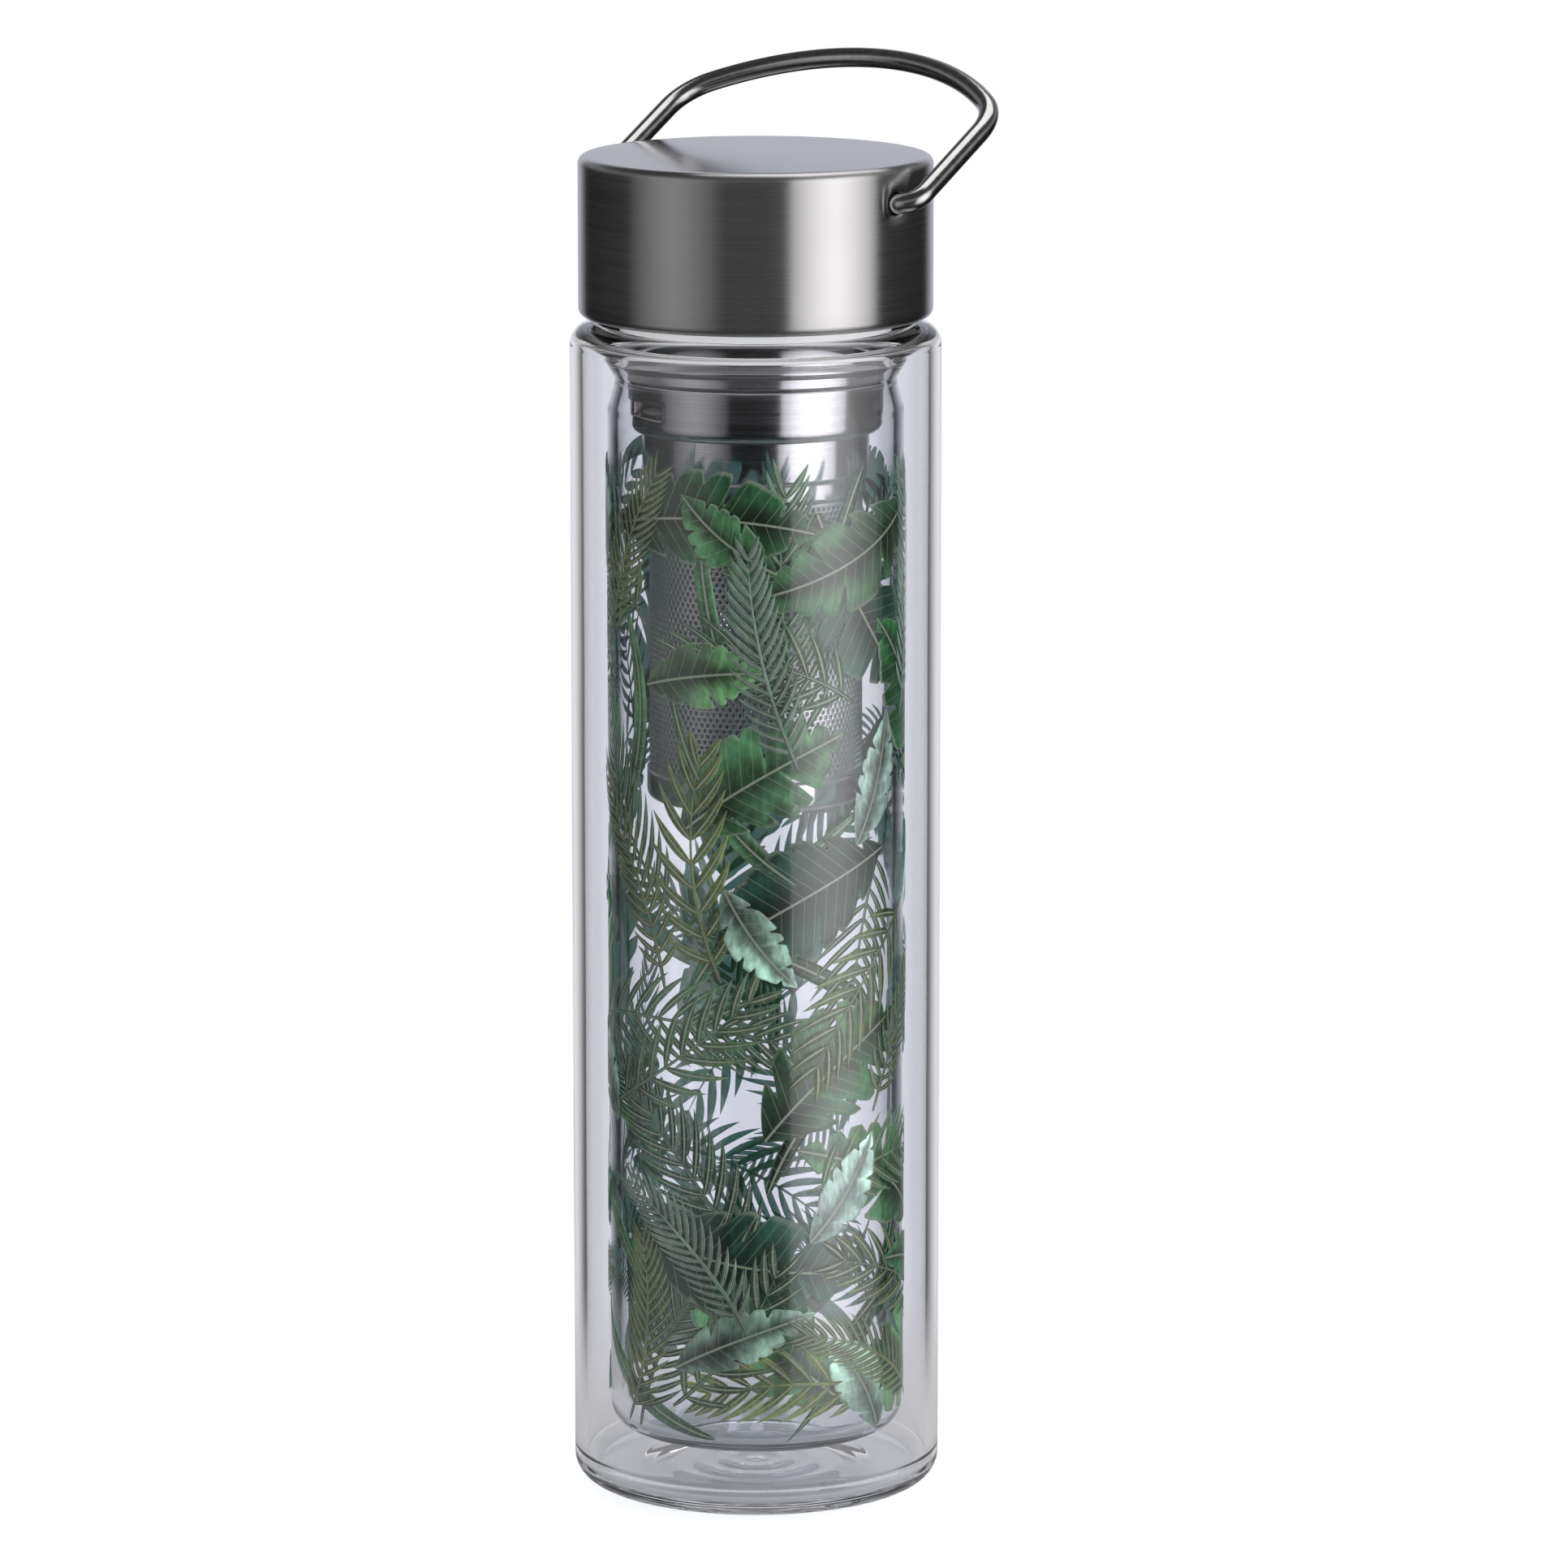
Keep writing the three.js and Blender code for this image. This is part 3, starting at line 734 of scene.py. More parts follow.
# A guess, duller than the turned steel, and paler as painted light, so that the lugs show in the slots
PAINTED_LIGHT_LUG_STEEL = Steel("lug_steel_painted_light", "#f6f4f4", "#eae8e8", 0.6, 0.04, 0.0, Grain.NONE, 0.5, 0.001)
# Painted shade: a guess, far darker than bare steel, that stands in for the shadow in the gap behind the
# collar, so that the slots show as openings
PAINTED_SHADE_STEEL = Steel("painted_shade_steel", "#3b3a3a", "#2e2d2d", 0.45, 0.05, 0.0, Grain.NONE, 0.5, 0.001)
# Moulded soft and milky, with an emission of painted light that makes it glow
SILICONE = SoftMoulding("moulded_silicone_painted_glow", "#f1f0ee", "#e6e5e2", 0.55, 1.2, 0.5, 0.01, 0.42)
# Moulded stiff, with a waxy sheen
POLYPROPYLENE = SoftMoulding("moulded_polypropylene", "#dcdad4", "#cfcdc6", 0.42, 0.8, 0.7, 0.008, 0.0)


# Sub-assemblies


@dataclass
class GlassBottle:
    """Jacket, vessel and neck as one fused piece of glass round a closed air space.

    Rows are the spacings of a profile's rows, and the melted vent, the pip, has its angle in degrees.
    """

    wall: float = 2.2
    wall_rows: float = 6.0
    floor: float = 2.6
    floor_rows: float = 0.5
    base_round: float = 4.2
    base_rows: float = 0.6
    foot_radius: float = 21.0
    push_up: float = 0.9
    push_up_radius: float = 15.0
    push_up_round: float = 9.0
    shoulder_round: float = 3.75
    shoulder_wall: float = 2.7
    air_gap: float = 4.3
    air_waist_round: float = 2.5
    air_neck_gap: float = 0.5
    air_neck_round: float = 1.0
    air_shoulder_round: float = 1.1
    air_floor_round: float = 2.2
    vessel_wall: float = 1.8
    vessel_floor: float = 2.0
    vessel_round: float = 4.5
    neck_fillet: float = 0.6
    neck_wall: float = 4.0
    rim_round: float = 1.2
    taper_drop: float = 5.2
    taper_round: float = 2.0
    waist_drop: float = 8.7
    waist_bore: float = 22.89
    waist_wall: float = 1.75
    waist_length: float = 1.0
    flare_bottom: float = 14.7
    flare_round: float = 4.0
    ripple_height: float = 0.08
    ripple_width: float = 5.2
    ripple_reach: float = 24.0
    pip_offset: float = 22.4
    pip_angle: float = -15.0
    pip_radius: float = 2.0
    pip_height: float = 0.7
    dimple_depth: float = 0.55
    dimple_width: float = 0.4
    seam_height: float = 5.2
    seam_depth: float = 0.2
    seam_half: float = 0.45
    seam_band: float = 6.0
    seam_rows: float = 0.25
    thread_clear: float = 2.0
    thread_start: float = 4.4
    thread_turns: float = 2.0
    thread_pitch: float = 3.6
    thread_depth: float = 0.4
    thread_half: float = 0.75
    thread_rows: float = 0.4

    def __post_init__(self) -> None:
        """Reads the radii and heights that the solids give."""
        self.radius, _, self.height = reach("outer_jacket")
        self.neck_radius, self.vessel_bottom, self.neck_top = reach("inner_vessel")
        self.vessel_radius = self.radius - self.wall - self.air_gap

    def outer_profile(self) -> np.ndarray:
        """Skin that meets the outside air and the tea, from under the base to the vessel's floor.

        Returns:
            Rows of radius and height.
        """
        inside = self.vessel_radius - self.vessel_wall
        bore = self.neck_radius - self.neck_wall
        waist = self.height - self.waist_drop
        floor = self.vessel_bottom + self.vessel_floor
        return rounded([
            Corner(0, self.push_up, spacing=self.base_rows),
            Corner(self.push_up_radius, self.push_up, self.push_up_round),
            Corner(self.foot_radius, 0, self.push_up_round),
            Corner(self.radius, 0, self.base_round, self.wall_rows),
            Corner(self.radius, self.height, self.shoulder_round),
            Corner(self.neck_radius, self.height, self.neck_fillet, self.thread_rows),
            Corner(self.neck_radius, self.neck_top, self.rim_round),
            Corner(bore, self.neck_top, self.rim_round),
            Corner(bore, self.height - self.taper_drop, self.taper_round),
            Corner(self.waist_bore, waist, self.taper_round),
            Corner(self.waist_bore, waist - self.waist_length, self.taper_round),
            Corner(inside, self.height - self.flare_bottom, self.flare_round, self.wall_rows),
            Corner(inside, floor, self.vessel_round - self.vessel_wall),
            Corner(0, floor),
        ])

    def cavity_profile(self) -> np.ndarray:
        """Skin of the closed air space, from under the vessel over its top to the jacket's floor.

        Returns:
            Rows of radius and height.
        """
        waist = self.waist_bore + self.waist_wall
        inside = self.radius - self.wall
        top = self.height - self.shoulder_wall
        return rounded([
            Corner(0, self.vessel_bottom),
            Corner(self.vessel_radius, self.vessel_bottom, self.vessel_round, self.wall_rows),
            Corner(self.vessel_radius, self.height - self.flare_bottom, self.flare_round),
            Corner(waist, self.height - self.waist_drop - self.waist_length / 2, self.air_waist_round),
            Corner(self.neck_radius + self.air_neck_gap, top, self.air_neck_round),
            Corner(inside, top, self.air_shoulder_round, self.wall_rows),
            Corner(inside, self.floor + self.seam_band, 0, self.seam_rows),
            Corner(inside, self.floor, self.air_floor_round, self.floor_rows),
            Corner(0, self.floor),
        ])

    def outer_shift(self, radius: np.ndarray, angle: np.ndarray, height: np.ndarray) -> Grids:
        """Raises the neck's thread, and ripples the underside: a cosine of the radius.

        Args:
            radius: radii of the skin's points.
            angle: their angles.
            height: their heights.

        Returns:
            The moved radii, angles and heights.
        """
        start = self.height + self.thread_start
        ridge = helix_ridge(angle, height, start, self.thread_turns, self.thread_pitch, self.thread_half)
        on_neck = (radius > self.neck_radius - TOUCH) & (height > self.height + self.thread_clear)
        under = height < self.push_up + NEAR
        return radius + self.thread_depth * ridge * on_neck, angle, height + self.ripples(radius) * under

    def cavity_shift(self, radius: np.ndarray, angle: np.ndarray, height: np.ndarray) -> Grids:
        """Ripples the jacket's floor and raises the melted vent on it: a bell with a dimpled top.

        The seam where the floor was fused to the jacket stands in as a ring: a bell of the height.

        Args:
            radius: radii of the air space's points.
            angle: their angles.
            height: their heights.

        Returns:
            The moved radii, angles and heights.
        """
        turn = math.radians(self.pip_angle)
        away = np.hypot(radius * np.cos(angle) - self.pip_offset * math.cos(turn),
                        radius * np.sin(angle) - self.pip_offset * math.sin(turn)) / self.pip_radius
        dimple = self.dimple_depth * np.exp(-(away / self.dimple_width) ** 2)
        pip = self.pip_height * (np.exp(-away ** 4) - dimple)
        on_floor = height < self.floor + NEAR
        on_wall = radius > self.radius - self.wall - TOUCH
        seam = self.seam_depth * np.exp(-((height - self.seam_height) / self.seam_half) ** 2) * on_wall
        return radius - seam, angle, height + (self.ripples(radius) + pip) * on_floor

    def ripples(self, radius: np.ndarray) -> np.ndarray:
        """Rings left by the blowing mould, which fade out towards the base's edge."""
        fade = 1 - smooth(radius / self.ripple_reach)
        return self.ripple_height * np.cos(radius * FULL_TURN / self.ripple_width) * fade

    def build(self) -> None:
        """Makes the glass as two skins of one piece."""
        skins = [turned(self.outer_profile(), shift=self.outer_shift),
                 turned(self.cavity_profile(), shift=self.cavity_shift)]
        add_piece("glass_body", joined(skins), [BlownGlass().material()], "bottle",
                  ("outer_jacket", "inner_vessel", "vent_seal"))


class LeafKind(Enum):
    """Motifs of the print."""

    OVATE = "ovate_leaves"
    STRAP = "strap_leaves"
    FERN = "fern_fronds"
    SPRIG = "willow_sprigs"


@dataclass(frozen=True)
class LeafGroup:
    """Leaves of one motif: how many, their sizes, and the colours that they take in turn."""

    kind: LeafKind
    count: int
    length: float
    half_width: float
    bend: float
    tones: tuple[str, ...]
    layer: int
    phase: float
    slits: float = 0.0
    pairs: int = 0
    leaflet_length: float = 0.0


@dataclass
class LeafPrint:
    """A generic leaf print round the vessel: leaves on a golden-angle spiral, in thin layers of ink.

    Pairs of numbers are the least and the most of a chance value, points along and across a blade's
    grid, or a leaflet's value at the stem's foot and how it goes on from there.
    """

    TONE = "leaf_tone"
    PLACE = "leaf_place"

    bottle: GlassBottle
    low: float = 10.6
    high: float = 186.5
    first_lift: float = 0.02
    layer_step: float = 0.011
    layers_each: int = 7
    film: float = 0.005
    seed: int = 381
    overrun: float = 12.0
    margin: float = 0.5
    leaflet_margin: float = 0.75
    rib_spots: int = 9
    hanging: float = 0.22
    lengths: tuple[float, float] = (0.82, 1.12)
    bends: tuple[float, float] = (0.5, 1.3)
    leans: tuple[float, float] = (0.15, 1.35)
    widths: tuple[float, float] = (0.85, 1.15)
    strengths: tuple[float, float] = (0.6, 1.4)
    slant: float = 0.55
    slits_along: int = 8
    slit_width: float = 0.13
    slit_stagger: float = 0.25
    slit_turns: tuple[float, float] = (2.4, 5.1)
    plain_grid: tuple[int, int] = (40, 5)
    slit_grid: tuple[int, int] = (72, 15)
    belly: float = 0.72
    stem_half: float = 0.22
    stem_taper: int = 6
    stem_grid: tuple[int, int] = (22, 3)
    stem_belly: float = 0.5
    stem_tone: float = 0.8
    tip_half: float = 0.03
    leaflet_share: float = 0.2
    leaflet_span: tuple[float, float] = (0.1, 0.97)
    leaflet_opening: tuple[float, float] = (1.05, -0.45)
    leaflet_sizes: tuple[float, float] = (0.35, 0.65)
    leaflet_swell: tuple[float, float] = (0.12, 0.8)
    leaflet_bend: float = 0.35
    leaflet_grid: tuple[int, int] = (10, 3)
    leaflet_belly: float = 0.75

    def groups(self) -> list[LeafGroup]:
        """Motifs from the first ink laid on the glass to the last.

        Returns:
            The groups of leaves.
        """
        deep = ("#0f3a1c", "#154224", "#123326", "#1c4a26")
        mid = ("#44764a", "#3b6b43", "#527f4e", "#34603d", "#4b784e")
        olive = ("#677a2a", "#576a22", "#768538", "#5d732b")
        pale = ("#92b3a0", "#a5c1b4", "#84a592", "#98b6a5")
        return [
            LeafGroup(LeafKind.STRAP, 28, 48, 1.8, 0.9, deep + mid, 0, 0.3),
            LeafGroup(LeafKind.FERN, 15, 46, 0.3, 0.5, deep + mid, 1, 2.1, 0, 15, 13.0),
            LeafGroup(LeafKind.OVATE, 19, 40, 9.5, 0.45, mid + deep, 2, 1.2, 0.8),
            LeafGroup(LeafKind.SPRIG, 18, 36, 0.3, 0.6, olive + mid, 3, 0.0, 0, 9, 12.0),
            LeafGroup(LeafKind.OVATE, 22, 25, 5.2, -0.5, pale + mid, 4, 3.9, 0.5),
            LeafGroup(LeafKind.FERN, 15, 40, 0.3, -0.6, olive + pale, 5, 4.4, 0, 17, 8.5),
        ]

    def vessel_radius(self, height: np.ndarray) -> np.ndarray:
        """Outside of the vessel: straight, and an arc of a circle below the start of its round.

        Args:
            height: heights of points on the vessel.

        Returns:
            The glass's radius at each.
        """
        rounding = self.bottle.vessel_round
        below = np.clip(self.bottle.vessel_bottom + rounding - height, 0, rounding)
        return self.bottle.vessel_radius - rounding + np.sqrt(rounding ** 2 - below ** 2)

    def blades(self, root: np.ndarray, heading: np.ndarray, length: np.ndarray, half: np.ndarray,
               bend: np.ndarray, lift: np.ndarray, tone: np.ndarray, grid: tuple[int, int],
               belly: float, slits: float = 0.0) -> Surface:
        """Lays leaf blades on the unrolled vessel and rolls them up.

        The rib is an arc of a circle: at share u it lies u L sinc(b u / 2) from the root along the
        heading h + b u / 2. The blade reaches to each side by v half sin(pi u^belly), v from 1 to -1,
        and slants towards the tip as it does. Slits are bell curves of u that cut the reach down, each
        to its own depth.

        Args:
            root: rows of arc length and height of the roots.
            heading: directions of the roots.
            length: lengths of the blades.
            half: half widths.
            bend: how far each blade turns along its length.
            lift: heights of the ink above the glass.
            tone: rows of linear colours.
            grid: points along and across a blade.
            belly: where the widest place lies; 0.5 to the power of 1 / belly.
            slits: share of the half width that the deepest slits cut away.

        Returns:
            All the blades.
        """
        number = np.arange(len(root))[:, None, None]
        share = np.linspace(0, 1, grid[0])[None, :, None]
        side = np.linspace(1, -1, grid[1])[None, None, :]
        heading, length, half, bend, lift = (np.broadcast_to(values, len(root))[:, None, None]
                                             for values in (heading, length, half, bend, lift))
        stem = self.stem_half * (1 - share) ** self.stem_taper
        reach_out = half * np.sin(math.pi * share ** belly) + stem + self.tip_half
        count = share * self.slits_along + self.slit_stagger * np.sign(side)
        by_slit, by_leaf = self.slit_turns
        depth = 0.5 + 0.5 * np.sin(by_slit * np.floor(count) + by_leaf * number)
        reach_out = reach_out * (1 - slits * depth * np.exp(-((count % 1 - 0.5) / self.slit_width) ** 2))
        along, across = np.broadcast_arrays(length * share, side * reach_out)
        chord = along * np.sinc(bend * share / FULL_TURN)
        here, there = (heading + bend * share / 2, heading + bend * share)
        ahead = self.slant * np.abs(across)
        arc, height = (root[:, axis, None, None] for axis in (0, 1))
        arc = arc + chord * np.cos(here) - across * np.sin(there) + ahead * np.cos(there)
        height = height + chord * np.sin(here) + across * np.cos(there) + ahead * np.sin(there)
        radius = self.vessel_radius(height) + lift
        angle = arc / self.bottle.vessel_radius
        points = np.stack([radius * np.cos(angle), radius * np.sin(angle), height], -1).reshape(-1, 3)
        quads = grid_quads(*grid, False, False)[None] + number * grid[0] * grid[1]
        place = np.stack([along, across, np.broadcast_to(side, along.shape)], -1).reshape(-1, 3)
        tones = np.repeat(tone, grid[0] * grid[1], axis=0)
        return Surface(points, quads.reshape(-1, 4), marks={self.PLACE: place, self.TONE: tones})

    def placed(self, group: LeafGroup, draw: np.random.Generator) -> tuple[np.ndarray, ...]:
        """Places a group's leaves: each goes a golden angle further round and a little higher.

        Args:
            group: the motif.
            draw: the source of its chance values.

        Returns:
            Roots, headings, lengths, bends, lifts and tones.
        """
        count = group.count
        order = np.arange(count)
        length = group.length * draw.uniform(*self.lengths, count)
        bend = group.bend * draw.choice([-1, 1], count) * draw.uniform(*self.bends, count)
        heading = math.pi / 2 + draw.choice([-1, 1], count) * draw.uniform(*self.leans, count)
        heading = np.where(draw.uniform(size=count) < self.hanging, -heading, heading)
        # The spiral runs past both ends and its leaves are pushed back in, so that the ends fill up
        climb = self.high - self.low + 2 * self.overrun
        middle = self.low - self.overrun + (order + 0.5) / count * climb
        share = np.linspace(0, 1, self.rib_spots)[None]
        rib = length[:, None] * share * np.sin(heading[:, None] + bend[:, None] * share / 2)
        width = max(group.half_width, group.leaflet_length * self.leaflet_margin)
        margin = width * np.abs(np.cos(heading)) + self.margin
        lowest, highest = (rib.min(1) - margin, rib.max(1) + margin)
        start = np.clip(middle - (lowest + highest) / 2, self.low - lowest, self.high - highest)
        arc = (order * GOLDEN_ANGLE + group.phase) * self.bottle.vessel_radius
        lift = self.first_lift + self.layer_step * (
            group.layer * (self.layers_each + 1) + order % self.layers_each)
        tones = np.array([linear(code)[:3] for code in group.tones])
        tone = tones[draw.integers(len(tones), size=count)]
        tone = tone * draw.uniform(*self.strengths, (count, 1))
        return np.stack([arc, start], -1), heading, length, bend, lift, tone

    def leaves(self, group: LeafGroup, draw: np.random.Generator) -> Surface:
        """Makes a group's leaves: single blades, or stems with pairs of leaflets.

        Args:
            group: the motif.
            draw: the source of its chance values.

        Returns:
            All the group's leaves.
        """
        root, heading, length, bend, lift, tone = self.placed(group, draw)
        if group.pairs == 0:
            half = group.half_width * draw.uniform(*self.widths, group.count)
            grid = self.slit_grid if group.slits else self.plain_grid
            return self.blades(root, heading, length, half, bend, lift, tone, grid, self.belly, group.slits)
        stems = self.blades(root, heading, length, np.full(group.count, group.half_width), bend,
                            lift + self.layer_step / 2, tone * self.stem_tone, self.stem_grid,
                            self.stem_belly)
        share = np.linspace(*self.leaflet_span, group.pairs)[None, :, None]
        side = np.array([-1.0, 1.0])[None, None, :]
        turn, rise = (values[:, None, None] for values in (bend, length))
        chord = rise * share * np.sinc(turn * share / FULL_TURN)
        direction = heading[:, None, None] + turn * share / 2
        spots = np.stack(np.broadcast_arrays(
            root[:, 0, None, None] + chord * np.cos(direction),
            root[:, 1, None, None] + chord * np.sin(direction), side)[:2], -1).reshape(-1, 2)
        opening = self.leaflet_opening[0] + self.leaflet_opening[1] * share
        aim = heading[:, None, None] + turn * share + side * opening
        swell = np.sin(math.pi * (self.leaflet_swell[0] + self.leaflet_swell[1] * share))
        size = group.leaflet_length * (self.leaflet_sizes[0] + self.leaflet_sizes[1] * swell)
        half = (length / group.pairs)[:, None, None] * self.leaflet_share
        size, half, curl = (np.broadcast_to(values, aim.shape).ravel()
                            for values in (size, half, -self.leaflet_bend * side))
        each = group.pairs * 2
        leaflets = self.blades(spots, aim.ravel(), size, half, curl, np.repeat(lift, each),
                               np.repeat(tone, each, axis=0), self.leaflet_grid, self.leaflet_belly)
        return joined([stems, leaflets])

    def build(self) -> None:
        """Makes each group as one piece of thin ink film with its base coat behind it."""
        draw = np.random.default_rng(self.seed)
        finishes = [LeafInk().material(), BackingInk().material()]
        for number, group in enumerate(self.groups(), 1):
            name = f"print_{number}_{group.kind.value}"
            film = add_piece(name, self.leaves(group, draw), finishes, "bottle")
            thicken(film, self.film, -1, 1)


@dataclass
class Strainer:
    """Collar that hangs in the neck on its silicone seat, and the sieve basket under it.

    Rows are the spacings of a profile's rows, and the slots' and lugs' angles are in degrees.
    """

    seal_fit: float = 0.1
    seal_lip: float = 0.8
    seal_thickness: float = 1.0
    seal_round: float = 0.3
    seal_foot_round: float = 0.2
    seal_fillet: float = 0.15
    seal_lip_rows: float = 0.4
    seal_bore_rows: float = 0.5
    rib_depth: float = 0.05
    rib_pitch: float = 3.0
    rib_clear: float = 0.3
    collar_gauge: float = 0.5
    collar_top_radius: float = 23.1
    collar_radius: float = 22.24
    collar_step: float = 22.8
    collar_foot_rows: float = 0.6
    collar_band_rows: float = 0.8
    collar_top_rows: float = 3.0
    curl_gap: float = 0.4
    curl_share: float = 0.98
    step_rise: float = 1.0
    step_round: float = 0.6
    flange_round: float = 0.9
    groove_drop: float = 3.4
    groove_depth: float = 0.35
    groove_half: float = 0.6
    groove_floor_half: float = 0.2
    groove_round: float = 0.25
    groove_floor_round: float = 0.15
    slot_start: float = 214.0
    slot_end: float = 264.0
    slot_rise: float = 3.3
    slot_height: float = 2.6
    slot_rows: float = 0.65
    notch_width: float = 24.0
    basket_gauge: float = 0.4
    skirt_step: float = 0.7
    skirt_length: float = 3.4
    step_fall: float = 0.8
    ring_round: float = 0.4
    ring_rows: float = 1.0
    painted_shade_start: float = 0.5
    lug_width: float = 20.0
    lug_gap: float = 2.0
    lug_lift: float = 0.25
    lug_thickness: float = 1.5
    lug_inset: float = 0.3
    lug_sink: float = 0.05
    lug_grid: tuple[int, int] = (21, 9)
    hole_pitch: float = 1.16
    hole_radius: float = 0.33
    holes_above_cup: float = 0.5
    holes_below_skirt: float = 0.6
    cup_round: float = 1.5
    cup_rows: float = 1.0
    press_inner: float = 11.5
    press_outer: float = 16.2
    press_slope: float = 1.0
    press_rise: float = 0.4
    press_round: float = 2.0

    def __post_init__(self) -> None:
        """Reads the radii and heights that the solids give."""
        self.flange_radius, self.collar_bottom, self.flange_top = reach("strainer_collar")
        self.seal_radius, self.seal_foot, self.seal_top = reach("strainer_seal")
        self.ring_radius, self.skirt_bottom, self.ring_top = reach("basket_ring")
        self.tube_radius, self.tube_bottom, self.tube_top = reach("basket_tube")
        self.cup_radius, self.cup_bottom, self.cup_top = reach("basket_cup")

    def build_seal(self) -> None:
        """Makes the silicone seat: a sleeve with a flange, rounded edges and low sealing ribs."""
        inner = self.collar_top_radius + self.seal_fit
        outer = inner + self.seal_lip
        bottom = self.seal_top - self.seal_thickness
        foot = self.seal_foot
        profile = rounded([
            Corner(inner, foot, self.seal_foot_round),
            Corner(outer, foot, self.seal_round, self.seal_lip_rows),
            Corner(outer, bottom, self.seal_fillet),
            Corner(self.seal_radius, bottom, self.seal_round),
            Corner(self.seal_radius, self.seal_top, self.seal_round),
            Corner(inner, self.seal_top, self.seal_round, self.seal_bore_rows),
        ], closed=True)

        def ribbed(radius: np.ndarray, angle: np.ndarray, height: np.ndarray) -> Grids:
            """Draws the lip in between its ribs: a cosine of the height.

            Args:
                radius: radii of the seat's points.
                angle: their angles.
                height: their heights.

            Returns:
                The moved radii, angles and heights.
            """
            on_lip = (np.abs(radius - outer) < TOUCH) & (height < bottom - self.rib_clear)
            wave = 1 + np.cos((height - foot) * FULL_TURN / self.rib_pitch)
            return radius - self.rib_depth * wave * on_lip, angle, height

        add_piece("strainer_seat", turned(profile, closed=True, shift=ribbed), [SILICONE.material()],
                  "strainer", ("strainer_seal",))

    def build_collar(self) -> None:
        """Makes the collar as a pressed sheet with two L-shaped bayonet slots."""
        half = self.collar_gauge / 2
        upper, main = (self.collar_top_radius - half, self.collar_radius - half)
        top, low = (self.flange_top - half, self.collar_bottom + half)
        step = self.flange_top - self.collar_step
        groove = step + self.step_rise - self.groove_drop
        slot_low = self.collar_bottom + self.slot_rise
        slot_high = slot_low + self.slot_height
        curl = main - self.ring_radius - self.curl_gap
        profile = rounded([
            Corner(main - curl, low),
            Corner(main, low, curl * self.curl_share, self.collar_foot_rows),
            Corner(main, slot_low, 0, self.slot_rows),
            Corner(main, slot_high, 0, self.collar_band_rows),
            Corner(main, groove - self.groove_half, self.groove_round),
            Corner(main - self.groove_depth, groove - self.groove_floor_half, self.groove_floor_round),
            Corner(main - self.groove_depth, groove + self.groove_floor_half, self.groove_floor_round),
            Corner(main, groove + self.groove_half, self.groove_round),
            Corner(main, step, self.step_round),
            Corner(upper, step + self.step_rise, self.step_round, self.collar_top_rows),
            Corner(upper, top, self.flange_round),
            Corner(self.flange_radius, top),
        ])

        def slotted(radius: np.ndarray, angle: np.ndarray, height: np.ndarray) -> np.ndarray:
            """Finds the cells inside a slot or its notch, which repeat every half turn.

            Args:
                radius: radii of the cells' middles.
                angle: their angles.
                height: their heights.

            Returns:
                True for each cell that is left open.
            """
            turn = np.mod(np.degrees(angle) - self.slot_start, HALF_TURN)
            in_slot = (turn < self.slot_end - self.slot_start) & (height > slot_low) & (height < slot_high)
            return in_slot | ((turn < self.notch_width) & (height < slot_high))

        collar = add_piece("strainer_collar_sheet", turned(profile, skip=slotted),
                           [TURNED_STEEL.material()], "strainer", ("strainer_collar",))
        thicken(collar, self.collar_gauge, 0)

    def build_ring(self) -> None:
        """Makes the basket's plain ring: a stepped sheet, with two lugs that lock in the slots."""
        half = self.basket_gauge / 2
        ring, skirt = (self.ring_radius - half, self.ring_radius - self.skirt_step - half)
        skirt_top = self.skirt_bottom + self.skirt_length

        def painted_shade_behind_collar(middles: np.ndarray) -> np.ndarray:
            """1 for the part behind the collar, which takes the painted shade, 0 for the turned part."""
            return middles[:, 2] > self.collar_bottom + self.painted_shade_start

        sheet = turned(rounded([
            Corner(skirt, self.skirt_bottom, 0, self.ring_rows),
            Corner(skirt, skirt_top, self.ring_round),
            Corner(ring, skirt_top + self.step_fall, self.ring_round, self.ring_rows),
            Corner(ring, self.ring_top),
        ]))
        # The part behind the collar is painted dark as shade
        finishes = [TURNED_STEEL.material(), PAINTED_SHADE_STEEL.material()]
        piece = add_piece("basket_ring_sheet", sheet, finishes, "basket",
                          ("basket_ring",), painted_shade_behind_collar)
        thicken(piece, self.basket_gauge, 0)
        ends = [self.slot_end - self.lug_gap + turn for turn in (0.0, HALF_TURN)]
        # The lugs take a paler steel, which is painted light
        lugs = add_piece("basket_lugs", joined([self.lug(end) for end in ends]), [PAINTED_LIGHT_LUG_STEEL.material()],
                         "basket")
        thicken(lugs, self.basket_gauge, -1)

    def lug(self, end: float) -> Surface:
        """Makes a lug pressed out of the ring: a lens whose swell is the root of sin(pi u) along it.

        Args:
            end: angle of its right end in degrees.

        Returns:
            The outer face, which sinks into the ring at its edges.
        """
        share = np.linspace(0, 1, self.lug_grid[0])[:, None]
        side = np.linspace(1, -1, self.lug_grid[1])[None]
        swell = np.sqrt(np.sin(math.pi * share))
        foot = self.collar_bottom + self.slot_rise + self.lug_lift
        height = foot + self.lug_thickness / 2 * (1 + side * swell)
        angle = np.broadcast_to(np.radians(end - self.lug_width * (1 - share)), height.shape)
        depth = self.collar_radius - self.lug_inset - self.ring_radius
        radius = self.ring_radius - self.lug_sink + depth * swell * (1 - side ** 2)
        points = np.stack([radius * np.cos(angle), radius * np.sin(angle), height], -1).reshape(-1, 3)
        return Surface(points, grid_quads(*self.lug_grid, False, False))

